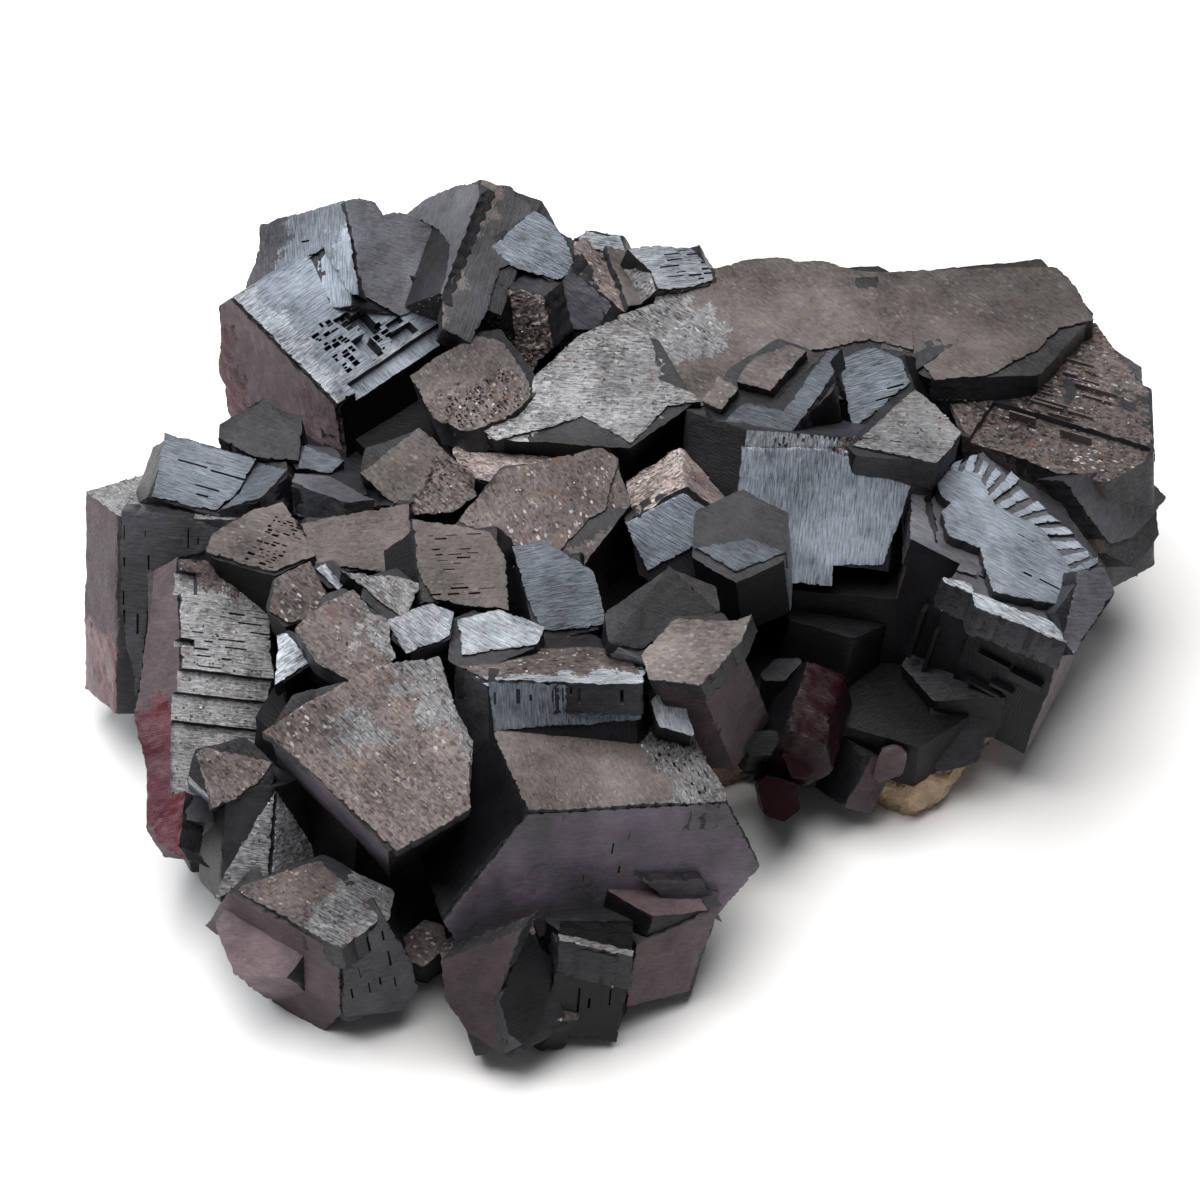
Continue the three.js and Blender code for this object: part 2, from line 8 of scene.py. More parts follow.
import bpy
import numpy as np
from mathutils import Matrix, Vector
from mathutils.geometry import delaunay_2d_cdt


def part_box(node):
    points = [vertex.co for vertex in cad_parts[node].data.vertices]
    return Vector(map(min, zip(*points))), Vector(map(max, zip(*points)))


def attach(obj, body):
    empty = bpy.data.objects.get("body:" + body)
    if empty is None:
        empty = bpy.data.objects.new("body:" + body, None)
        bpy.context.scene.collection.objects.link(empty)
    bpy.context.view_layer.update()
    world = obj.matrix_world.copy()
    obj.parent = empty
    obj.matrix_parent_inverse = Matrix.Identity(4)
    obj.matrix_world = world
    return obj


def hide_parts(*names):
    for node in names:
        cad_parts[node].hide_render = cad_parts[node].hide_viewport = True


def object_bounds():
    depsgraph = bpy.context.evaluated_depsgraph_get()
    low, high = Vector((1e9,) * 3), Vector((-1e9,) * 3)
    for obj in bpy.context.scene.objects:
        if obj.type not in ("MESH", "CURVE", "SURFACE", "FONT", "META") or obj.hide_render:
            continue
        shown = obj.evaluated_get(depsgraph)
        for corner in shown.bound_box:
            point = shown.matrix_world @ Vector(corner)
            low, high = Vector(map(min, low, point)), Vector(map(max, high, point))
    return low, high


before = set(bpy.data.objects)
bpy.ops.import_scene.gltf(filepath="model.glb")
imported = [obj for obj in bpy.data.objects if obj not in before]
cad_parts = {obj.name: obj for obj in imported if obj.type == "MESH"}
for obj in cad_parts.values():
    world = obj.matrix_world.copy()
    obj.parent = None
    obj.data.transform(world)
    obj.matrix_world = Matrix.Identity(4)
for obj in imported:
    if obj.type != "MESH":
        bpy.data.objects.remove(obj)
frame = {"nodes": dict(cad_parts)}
solid_box = [list(corner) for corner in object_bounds()]

MM = 0.001  # in metres; the lengths below are in mm
PHOTO_WIDTH = 1200  # pixels
LENS, SENSOR = 120, 36
CAMERA_DISTANCE = 440  # the place of the photograph's camera is a guess that fits the crystals
CAMERA_ELEVATION = np.radians(42)
CAMERA_TARGET = np.array([0, 0, 16.0])
CAMERA_BACK = np.array([0, -np.cos(CAMERA_ELEVATION), np.sin(CAMERA_ELEVATION)])
CAMERA_UP = np.array([0, np.sin(CAMERA_ELEVATION), np.cos(CAMERA_ELEVATION)])
CELL = 0.32  # grid on plates with an outline, mm
CELL_PLAIN = 0.5  # on the other faces that show from the front
CELL_BEHIND = 0.75  # on the faces behind
CELL_UNDER = 1.6  # on the faces turned down
NO_GRID = 200  # a cell larger than any face
TURNED_DOWN = -0.25  # a face that points lower than this counts as turned down
TOWARDS_FRONT = np.array([0, -0.74, 0.67])
BURIED = 0.7  # depth inside a neighbour past which no grid is laid
PLATE_RISE, PLATE_ROOT = 0.35, 3.6  # how far an outlined face stands out and goes in
RIM_STEP, RIM_WOBBLE = 1.5, 0.07  # spacing and size of the nicks in its rim
PAINTED_LIGHT_STEP = 1.3  # painted light and shade: how much brighter a look gets by one step, a lit copy of its finish
DEEP_PIT, PIT_PAINTED_SHADE = -0.6, 4  # pits deeper than this are painted black as shade, the others painted so many steps darker
INSET = 0.2  # what is kept clear inside the solids' box, mm
GRAINS_PER_MM2, GRAIN_WIDTH, GRAIN_HEIGHT = 0.6, 0.12, 0.18
MAP_UNIT = 10  # mm of a face to one unit of its map
SHARP_EDGE = np.radians(28)
BUMP_STRENGTH = 0.9
OUTLINE_SEED, PLATE_SEED, FLIGHT_SEED, MESH_SEED, STEP_SEED, ROW_SEED = 500, 520, 560, 600, 300, 800
MATRIX_WEST, MATRIX_SOUTH = -40, -25  # the matrix's low corner before the solids were centred

# Each crystal: its middle, its lean (tilt from upright, heading, turn about its axis), the distances
# from its axis to its six side faces, and its reach up and down the axis
CRYSTALS = {
    "front": {
        "frontHexagon": ((-1.5, -36, 16), (85, -75, 170), (9, 12.5, 16.5, 8.5, 14, 14.5), (7, 7)),
        "frontBlock": ((-1.5, -46, 7.5), (12, 70, -148), (4.5, 4.5, 4, 4.5, 4, 4.5), (6, 6.5)),
        "frontFoot": ((-10, -48.5, 7.5), (30, 128, 122), (5.5, 5.5, 5, 7, 5, 5.2), (5, 6)),
        "frontSliver": ((-4.5, -50.5, 3.5), (20, -20, 10), (2, 2.5, 2.2, 2, 2.4, 2), (3, 3)),
        "redFoot": ((5, -41, 8), (17, 38, -102), (5.5, 6.3, 4.6, 5, 5.5, 6), (5.5, 6.3)),
        "cornerBlock": ((-27.5, -45.5, 10.5), (6, -160, 34), (4.2, 6, 7.3, 5, 6, 9), (6, 7)),
        "cornerFoot": ((-32.5, -43.5, 7), (30, -120, 20), (5, 5, 4.5, 5, 5.5, 5), (6, 4)),
        "sparklyTop": ((-21.5, -35, 25.5), (35, -86, -49), (7.5, 9.5, 8.5, 8, 7.5, 11), (8, 15)),
        "triangular": ((-35.5, -31, 13.5), (27, 82, 180), (6.5, 5.5, 6.5, 6, 6, 5.5), (5.5, 8)),
        "goldenTop": ((-38.5, -30, 18.5), (38, -78, -53), (3.8, 2.9, 4.5, 3.6, 3, 4.2), (5, 8)),
        "chip": ((-18, -42.5, 5), (31, -90, -19), (2.6, 2, 2.4, 2.6, 2, 2.8), (5, 4)),
        "domedBlock": ((-5.5, -24.5, 23), (19, 93, 180), (7, 11.3, 7, 8, 8, 9), (6, 10)),
        "whiteChip": ((7, -27, 22), (24, -80, -85), (2, 2.2, 3.5, 1.8, 3, 2.5), (5.5, 5)),
    },
    "left": {
        "farLeft": ((-45.5, 2.5, 15), (26, 85, 121), (10.2, 9, 10, 9.5, 9, 10.2), (11, 12)),
        "linedBlock": ((-41.5, -18, 17), (62, 92, 144), (7.3, 5.8, 6.7, 8, 8, 6), (14, 15)),
        "linedFoot": ((-40.5, -21, 8), (20, 120, 20), (6, 6, 5.5, 6, 6.5, 6), (8, 7.5)),
        "stripedBlue": ((-42.5, 7.5, 24), (61, 69, -176), (7.3, 7.8, 7.5, 7.5, 7.5, 7.8), (4, 4)),
        "darkQuad": ((-36.5, 11, 26.5), (18, -100, -20), (3.4, 3.3, 4.6, 3.5, 3.2, 4.7), (7, 8)),
        "smallQuad": ((-31, 7, 27), (17, -80, -16), (1.8, 2.4, 2.6, 1.8, 2.4, 2.6), (5, 6)),
        "greyStep": ((-34.5, 2.5, 25.5), (28, 178, 64), (3.3, 3.4, 4.1, 3.2, 3.5, 3.8), (6, 8)),
        "tent": ((-28.5, 0.5, 28), (19, 86, 165), (3, 5.2, 3, 3.8, 3.8, 4), (4, 8)),
        "greyTop": ((-35, -7, 23), (7, -150, 32), (4.2, 5.6, 4.5, 4.6, 5, 5), (8.3, 8)),
        "brownNose": ((-31.5, -13, 24.5), (30, -92, -41), (3.2, 2.8, 3.1, 3, 3, 3), (8.5, 8)),
        "pane": ((-26, -4.5, 24), (64, 97, 180), (8.4, 9, 8.7, 8.7, 8.7, 9), (3.5, 3.5)),
        "steppedGrey": ((-12.5, 16.5, 31), (15, 176, 26), (6.5, 6.8, 8, 5.5, 8.7, 6.5), (3, 10)),
        "steppedSmall": ((-19.5, 2.5, 30), (30, -96, -35), (4, 4.6, 6.6, 4, 4.7, 6), (5, 9)),
    },
    "crest": {
        "topLeftBlock": ((-32, 28.5, 25.5), (89, -131, 97), (10.4, 8, 12.2, 8.5, 9.5, 9.3), (7, 11)),
        "crestLeft": ((-29, 41, 28), (57, 91, 154), (11, 11, 10.5, 8, 8, 10.4), (5, 7)),
        "crestMiddle": ((-14, 38.5, 30), (69, 72, 138), (8, 9.6, 8, 7, 7, 8.9), (8, 8)),
        "crestLow": ((-24, 39, 26), (30, 60, 10), (8, 8, 7, 7, 8, 8), (6, 16)),
        "blueQuad": ((-7, 37, 35.5), (41, -93, -26), (2.8, 4.5, 4.2, 3, 3.8, 5.4), (4.2, 7)),
        "brownRough": ((-8, 37.5, 28), (23, 127, 116), (5.5, 8.3, 4.4, 5.7, 7.6, 4.5), (3.3, 10)),
        "backMound": ((-2, 34.5, 27.5), (26, 0, -112), (4.7, 5, 5, 5, 5, 5.2), (8, 8)),
        "backChip": ((0, 40, 32.5), (70, 91, -168), (3.4, 3.5, 3.5, 3.5, 3.5, 3.5), (1.8, 2)),
        "brightBack": ((7.5, 35, 31.5), (67, 105, -173), (5.7, 5.8, 5.8, 5.8, 5.8, 5.8), (2.6, 3)),
    },
    "centre": {
        "silverFace": ((0.5, 14.5, 29), (21, -94, -10), (6.7, 7.3, 8.6, 8.6, 6, 13.5), (7, 9)),
        "brownCentre": ((-5.5, -3, 25), (21, -106, -50), (8.6, 8, 7, 10, 7.4, 7.7), (8, 8)),
        "speckledBand": ((-6.5, 6.5, 22), (18, 79, 172), (11, 7, 9.5, 12.8, 6.7, 10.2), (8.5, 8)),
        "linedBrown": ((-15.5, -11, 27.5), (66, 97, -176), (6.7, 7.2, 7, 7, 7, 7.2), (4.2, 4.4)),
        "roundedBrown": ((-26, -22, 28.5), (23, -82, -45), (4, 4.8, 4.2, 3.9, 5.1, 4.2), (5, 8)),
        "whiteLeft": ((-31.5, -21, 25), (27, -90, 34), (2, 2.1, 2.2, 2.8, 1.8, 3.3), (5, 6)),
        "whiteMiddle": ((-18.5, -19, 27), (28, -87, -40), (3.1, 2.3, 3.1, 3.1, 2.3, 3.1), (5, 7)),
        "whiteRight": ((-12, -21, 25), (12, -90, -34), (4.2, 3.1, 5.3, 3, 4.3, 3.7), (5.3, 7)),
        "silverCorner": ((-22.5, -15.5, 28), (23, -70, -57), (2.5, 3.3, 2.6, 3, 2.7, 3), (5, 7)),
        "silverSliver": ((-28, -11.5, 27.5), (24, -96, -42), (1.4, 1.8, 1.8, 1.4, 1.6, 2), (5, 7)),
        "blueCurved": ((-5, -11.5, 25), (59, 105, 178), (5.5, 5.8, 5.6, 5.6, 5.6, 5.7), (4.4, 4.8)),
        "speckledPeak": ((8.5, -1.5, 29), (69, -88, 150), (5.2, 5.1, 5.3, 6, 4.6, 6), (6, 7)),
        "darkWedge": ((15, -8.5, 31), (21, -106, -20), (5, 5, 5, 5, 5, 5), (3, 9)),
        "darkRoof": ((6, -19.5, 29), (26, -84, -28), (5.4, 3.6, 6.2, 5.2, 3.7, 5.9), (5.5, 8)),
        "beigeTop": ((11, -24, 25), (23, -123, 26), (4.1, 3.3, 5.2, 4, 3.4, 4.8), (10, 11)),
    },
    "right": {
        "steppedPlates": ((19.5, 10, 35.5), (21, -118, -2), (6.2, 5.2, 6.4, 6, 5.4, 6), (3.5, 9)),
        "lavender": ((30, 17.5, 30), (53, 111, 173), (5.8, 6.3, 6, 6, 6, 6.3), (3.2, 5)),
        "sparklyApex": ((32, 4.5, 30), (6, 8, -97), (4.3, 5.3, 4.8, 5.7, 4.2, 7), (6, 9)),
        "bluePlate": ((21.5, 10, 25), (30, 78, -162), (13.2, 14.2, 13.8, 10, 10, 14), (7.5, 7)),
        "steppedRight": ((41.5, -2.5, 17), (11, -30, -80), (8.6, 11.5, 9, 9.4, 10.6, 9.8), (11.5, 8.5)),
        "rightChip": ((48.5, -9.5, 23.5), (48, -66, -23), (4.5, 2.2, 3.8, 4, 2.2, 3.5), (8, 10)),
        "rightFoot": ((48.5, 2, 12), (25, -50, 15), (5.5, 5, 4.5, 6, 6, 5), (5, 9)),
        "brownRight": ((50.5, 17.5, 24.5), (7, -145, 21), (9, 13.6, 11.2, 9, 12, 11), (6, 12)),
        "rightTip": ((55.5, 8.5, 20.5), (62, -40, 12), (4.6, 4.4, 5, 5.4, 5, 5), (4.5, 6)),
    },
    "back": {
        "plateau": ((22, 25, 25.5), (3, -95, -54), (13.7, 11.6, 14, 15, 11, 15), (9, 15)),
        "plateauRight": ((41, 27, 25.5), (6, -80, -60), (10.3, 9, 11, 13.3, 9, 13), (9, 15)),
        "backDark": ((55.5, 25.5, 23), (23, 27, -155), (3, 4.7, 4, 3.5, 3.5, 6), (6, 10)),
        "backFoot": ((4, 38, 16), (64, 80, 25), (10, 9, 10, 11, 9, 10), (5, 8)),
        "backLow": ((28, 39, 13), (58, 98, 5), (9, 10, 9, 9, 10, 9), (4.5, 8)),
        "backCorner": ((47, 34, 15), (48, 60, 40), (8, 9, 8, 8, 8, 9), (5, 8)),
        "backLeft": ((-32, 38, 14), (55, 130, 15), (9, 8, 9, 9, 8, 9), (6, 8)),
        "leftLow": ((-43, 17, 12), (52, 170, 30), (7, 8, 7, 8, 9, 8), (4, 9)),
        "rightLow": ((53, 17, 12), (40, 20, 0), (6.5, 6, 7, 7, 6, 5.5), (4, 8)),
    },
    "hollow": {
        "hollowTop": ((19.5, -12.5, 12), (4, 114, 154), (2.2, 1.6, 2.8, 2, 1.5, 2.6), (5.2, 6)),
        "hollowPurple": ((22, -17.5, 13.5), (88, 76, 135), (3.8, 3.8, 3.8, 3.8, 3.8, 3.8), (6, 5)),
        "hollowDark": ((24.5, -4, 14.5), (14, 44, -148), (5.5, 6, 5.8, 5.8, 5.8, 6), (4, 8)),
        "hollowSplit": ((28, -16, 5.5), (35, 40, 129), (3.5, 3.2, 3.5, 3.4, 3.4, 3.4), (3.3, 3.5)),
        "hollowMauve": ((31.5, -17, 8), (53, -97, 21), (1.7, 1.7, 2.2, 2, 1.5, 2.6), (4, 5)),
        "hollowLedge": ((38, -11, 7.5), (60, -80, 10), (4, 3.6, 4.4, 4, 3.6, 4.4), (4, 6)),
        "hollowBlock": ((40, -7.5, 11.5), (7, -130, 40), (5.9, 6.3, 6, 6, 6, 6.3), (3, 4)),
        "hollowShiny": ((19, -22, 7.5), (49, -90, -78), (2, 2.3, 2.5, 2.2, 2.1, 2.8), (4, 8)),
        "hollowRed": ((20.5, -19, 11), (55, -74, -17), (2.4, 2, 1.8, 2.4, 2, 1.8), (4, 6)),
        "hollowSmall": ((17, -19.5, 12), (37, -87, 2), (1.5, 1.5, 2, 1.5, 1.5, 2), (5, 6)),
    },
    "ground": {
        "groundFront": ((-18, -22, 11), (8, 30, 12), (16, 15, 17, 17, 15, 16), (9, 9)),
        "groundLeft": ((-28, 6, 13), (6, 200, 25), (15, 17, 14, 15, 16, 15), (10, 11)),
        "groundCrest": ((-18, 27, 14), (5, 90, 5), (15, 13, 14, 15, 12, 14), (10, 12)),
        "groundCentre": ((2, 2, 13), (4, -40, 18), (14, 16, 15, 14, 15, 14), (10, 10)),
        "groundRight": ((30, 10, 12), (5, 20, 8), (18, 16, 17, 17, 16, 15), (9, 10)),
        "groundHollow": ((21, -6, 9), (5, -60, 22), (7, 8, 9, 9, 8, 8), (5, 7)),
        "groundLedge": ((32, -8.5, 9.5), (4, -60, 10), (9, 7, 7.5, 9, 9, 8.5), (2.5, 4)),
        "groundBack": ((24, 26, 13), (6, 80, 14), (22, 12, 13, 22, 12, 12), (8, 11)),
    },
}
# How far a crystal's side faces are bent out of the regular hexagon, in degrees
SKEW = {
    "sparklyTop": (0, 15, 13, -15, 0, -15),
    "greyStep": (8, 0, 0, 0, 0, -10),
    "greyTop": (0, 0, 15, 0, 0, -12),
    "topLeftBlock": (5, 0, 0, -5, 0, 0),
    "silverFace": (8, -8, 10, -8, 0, 0),
    "brownCentre": (0, 0, 0, -5, 8, 0),
    "roundedBrown": (0, 6, 12, 0, 0, -10),
    "speckledPeak": (-6, 0, 8, 0, 0, 0),
    "steppedPlates": (0, 15, 7, 0, 0, -20),
    "steppedRight": (-8, 24, 16, -14, 0, -18),
    "brownRight": (5, 6, 0, -15, -12, 15),
    "plateau": (14, 0, -16, 11, 0, -8),
    "plateauRight": (12, -6, -15, -10, 0, 15),
}

# What each finish is: colour, metallic, roughness, sparkling skin, streaks along the face, then its
# relief (depth, size along, size away) and its terraces (depth, size, how many), in mm. The pale colours of
# silver, steel and pewter are painted reflections, jet and slate are painted shade, and the skin's sparkle
# is painted glints on real facets; the other colours are the crystal's own
FINISHES_AND_PAINTED_LIGHT = {
    "skin": ((0.105, 0.088, 0.084), 0.1, 0.5, 0.75, 0.4, (0.1, 0.9, 0.6), (0.35, 3.5, 5)),
    "plain": ((0.098, 0.085, 0.081), 0.15, 0.45, 0.35, 0.3, (0.05, 1.8, 0.6), (0.25, 4.5, 4)),
    "knobbly": ((0.11, 0.092, 0.088), 0.15, 0.45, 1.0, 0.2, (0.5, 1.2, 0.8), (0.3, 3, 4)),
    "steel": ((0.175, 0.2, 0.235), 0.3, 0.42, 0.1, 0.9, (0.06, 3.2, 0.45), (0.2, 6, 4)),
    "silver": ((0.36, 0.39, 0.43), 0.4, 0.4, 0.3, 1.0, (0.12, 2.2, 0.45), (0.25, 3.5, 4)),
    "pewter": ((0.24, 0.24, 0.25), 0.35, 0.45, 0.7, 0.9, (0.16, 1.4, 0.5), (0.3, 4, 5)),
    "slate": ((0.042, 0.043, 0.049), 0.2, 0.42, 0.2, 0.45, (0.07, 2.4, 0.5), (0.2, 4, 4)),
    "jet": ((0.005, 0.005, 0.0065), 0.0, 0.4, 0.04, 0.5, (0.04, 3.0, 0.5), (0.15, 5, 3)),
    "plum": ((0.11, 0.08, 0.088), 0.05, 0.55, 0.2, 0.15, (0.14, 2.2, 1.4), (0.3, 4, 4)),
    "dusk": ((0.08, 0.07, 0.084), 0.1, 0.4, 0.1, 0.2, (0.04, 3.0, 2.0), (0.2, 7, 3)),
    "ember": ((0.012, 0.0035, 0.005), 0.0, 0.2, 0.05, 0.2, (0.12, 1.6, 1.2), (0.25, 3, 3)),
    "ruby": ((0.07, 0.014, 0.02), 0.0, 0.25, 0.05, 0.2, (0.12, 1.6, 1.2), (0.25, 3, 3)),
}

# The finish of the faces that differ from brown ends and dark sides (dark as painted shade), and its steps of
# painted light and shade: lighter and darker copies of the finish, set to how light falls on each face
LOOKS = {
    "frontHexagon": "t:dusk+1 p0:plain+1 p1:jet+2 p5:skin",
    "frontFoot": "p0:plum-3 p1:jet+1",
    "frontBlock": "t:jet-2 p0:jet",
    "redFoot": "t:plum p0:plum-1",
    "cornerBlock": "t:skin p0:plum-1 p1:slate+1 p2:jet",
    "cornerFoot": "t:plum p0:plum",
    "sparklyTop": "t:skin+1 p0:dusk p1:jet",
    "triangular": "p0:pewter p1:pewter+3 t:slate",
    "goldenTop": "t:skin+1 p0:silver",
    "domedBlock": "t:skin p0:steel+1 p5:slate+1",
    "whiteChip": "t:silver p0:slate p1:slate",
    "farLeft": "t:pewter p1:slate+1 p0:plum-3",
    "linedBlock": "p1:pewter+1 p0:plum-2 p2:silver b:plum",
    "stripedBlue": "p0:steel-1 p1:steel",
    "darkQuad": "t:slate-1 p0:steel",
    "smallQuad": "t:steel-2",
    "greyStep": "t:steel-3",
    "tent": "t:slate+3 p0:jet",
    "greyTop": "t:plain",
    "pane": "p0:plain",
    "steppedGrey": "t:plain",
    "steppedSmall": "t:plain",
    "topLeftBlock": "p1:steel+1 t:plum+1 p2:steel p0:jet-3",
    "crestLeft": "p0:steel-1 p1:slate+5 t:slate",
    "crestMiddle": "p0:slate+3 p1:slate t:slate",
    "blueQuad": "t:steel",
    "brownRough": "p0:knobbly+3 p1:knobbly t:knobbly+2",
    "backMound": "t:knobbly+2 p0:slate+6 p1:dusk",
    "backChip": "p0:silver",
    "brightBack": "p0:silver-1 p5:pewter",
    "silverFace": "t:pewter",
    "brownCentre": "t:skin p2:jet",
    "speckledBand": "t:knobbly+4",
    "linedBrown": "p0:plain p1:jet",
    "roundedBrown": "t:skin",
    "whiteLeft": "t:silver+2",
    "whiteMiddle": "t:silver-1 p1:steel",
    "whiteRight": "t:silver-1",
    "silverCorner": "t:pewter",
    "silverSliver": "t:silver",
    "blueCurved": "p0:steel-1",
    "speckledPeak": "t:steel+3 p1:knobbly+4 p0:skin+3",
    "darkWedge": "t:steel-3 p2:steel",
    "darkRoof": "t:jet+2 p0:silver+1",
    "beigeTop": "t:plain+1 p0:plum-4 p1:plum-3",
    "steppedPlates": "t:jet+1",
    "lavender": "p0:steel",
    "sparklyApex": "t:pewter-1 p0:slate",
    "bluePlate": "p0:steel+2 t:slate",
    "steppedRight": "t:slate+2 p0:jet+2 p1:plum-2 p5:plum-2",
    "rightChip": "t:slate+4 p4:slate+1 p5:slate",
    "brownRight": "t:knobbly-1 p0:plain p1:slate",
    "rightTip": "t:slate+1 p4:plain",
    "plateau": "t:plain p0:slate",
    "plateauRight": "t:plain-1 p1:slate-1 p2:plain",
    "backDark": "t:slate",
    "crestLow": "t:slate p0:slate p1:slate",
    "hollowTop": "t:slate-1",
    "hollowPurple": "p1:ember p2:ember b:ember",
    "hollowDark": "t:jet",
    "hollowSplit": "t:slate-2 p1:jet p2:plum-3",
    "hollowMauve": "t:plum-3 p0:ember p1:ember p5:ember",
    "hollowLedge": "t:slate-2 p0:ember p1:ember",
    "hollowBlock": "t:slate-1",
    "hollowShiny": "t:ember",
    "hollowRed": "t:ember+1",
    "hollowSmall": "t:jet",
    "groundLedge": "t:jet",
    "groundHollow": "t:jet",
}
# Painted shade: jet on the filler crystals in the gaps and on the side faces
PAINTED_SHADE_LOOK = "jet"
BACKWARD, HIDDEN_LOOKS = 0.25, ("slate-1", "jet+3", "dusk-2", "plum-3")  # side faces turned to the back

# Stretches of a face with another finish than the rest of it: along, away, finish. Silver, pewter and steel
# stretches are painted reflections, slate ones painted shade; ruby, knobbly, skin and plain ones are the
# crystal's own colour and relief, with steps of painted shade
PATCHES = {
    ("topLeftBlock", "p1"): [((-1, 30), (-2, 3.2), "silver"), ((-1, 2), (-1, 30), "silver-1")],
    ("topLeftBlock", "t"): [((0, 14), (15.4, 25), "ruby")],
    ("steppedGrey", "t"): [((4, 30), (-3, 9), "knobbly")],
    ("steppedSmall", "t"): [((5.5, 30), (-1, 30), "knobbly")],
    ("bluePlate", "p0"): [((-1, 10), (-1, 2.2), "silver"), ((10, 30), (-1, 2.8), "knobbly+1")],
    ("domedBlock", "t"): [((-5, 30), (-2, 1.8), "silver")],
    ("plateau", "t"): [((-9, 9), (-9, 8), "pewter-1")],
    ("sparklyTop", "t"): [((-9, 30), (12.5, 30), "pewter-1"), ((3, 8), (4, 9), "pewter-1")],
    ("roundedBrown", "t"): [((4, 30), (4, 30), "pewter-1")],
    ("brownCentre", "t"): [((-5, 6), (9, 30), "skin-1"), ((9, 30), (-5, 30), "plain-1")],
    ("silverFace", "t"): [((-5, 5), (-5, 30), "pewter+1"), ((11, 18), (6, 12), "pewter-1")],
    ("cornerBlock", "t"): [((8, 30), (-5, 30), "pewter-1")],
    ("frontHexagon", "p0"): [((-5, 5), (-5, 30), "pewter-1")],
    ("crestLeft", "p0"): [((9.3, 30), (2, 13), "steel+1"), ((-5, 3), (-5, 30), "slate+1")],
    ("crestMiddle", "p1"): [((-5, 2), (-5, 30), "plain")],
    ("linedBlock", "p1"): [((-1, 30), (-2, 1.8), "knobbly"), ((-1, 30), (17, 30), "slate+1")],
    ("farLeft", "p0"): [((-9, 30), (14, 40), "ruby-1")],
    ("linedBlock", "p0"): [((-9, 30), (15, 40), "ruby-1")],
}

# Blocks cut into faces (below zero) or standing on them: face, along, away, height
STEPS = {
    "topLeftBlock": [
        ("p1", (2, 5), (7, 9.5), -1.3), ("p1", (4, 7.5), (9.3, 11.5), -1.6),
        ("p1", (1.5, 3.2), (11.2, 15), -1.2), ("p1", (6, 8.2), (7.5, 9.7), -0.8),
        ("p1", (3.4, 4.4), (12, 14.5), -0.9), ("p1", (-1, 1.1), (2.6, 18), -0.9),
    ],
    "bluePlate": [("p0", (11.8, 12.5), (-1, 2.3), -1.5)],
    "steppedRight": [("p0", (-1, 8.8), (1.5, 16), -0.7), ("p0", (-1, 5.2), (-1, 18), -1.4)],
    "linedBlock": [
        ("p1", (-1, 1.6), (1.2, 4), -1.1), ("p1", (-1, 1.3), (8.8, 9.8), -1.1),
        ("p1", (-1, 12), (12.2, 24), -0.7), ("p1", (-1, 12), (14.6, 25), -1.3),
        ("p1", (-1, 12), (17.6, 26), -2),
    ],
    "brownRight": [("t", (1, 20), (-1, 6.5), -1)],
}

# Plates that stand higher on a face: how far they stand out, look, outline in mm along and away
PLATES = {
    ("frontHexagon", "t"): [
        (1.1, "dusk-1", [(8.5, 8.5), (2.5, 13.2), (-1.9, 15.1), (1.1, 8.9)]),
        (0.8, "plum-1", [(6.5, 15.9), (4, 12.5), (1, 15), (-1, 17), (3, 19)]),
    ],
    ("backMound", "t"): [(0.7, "plain+1", [(0.4, 7.3), (3, 9), (8.3, 6.3), (8.2, 1.5), (6.9, -0.7)])],
}

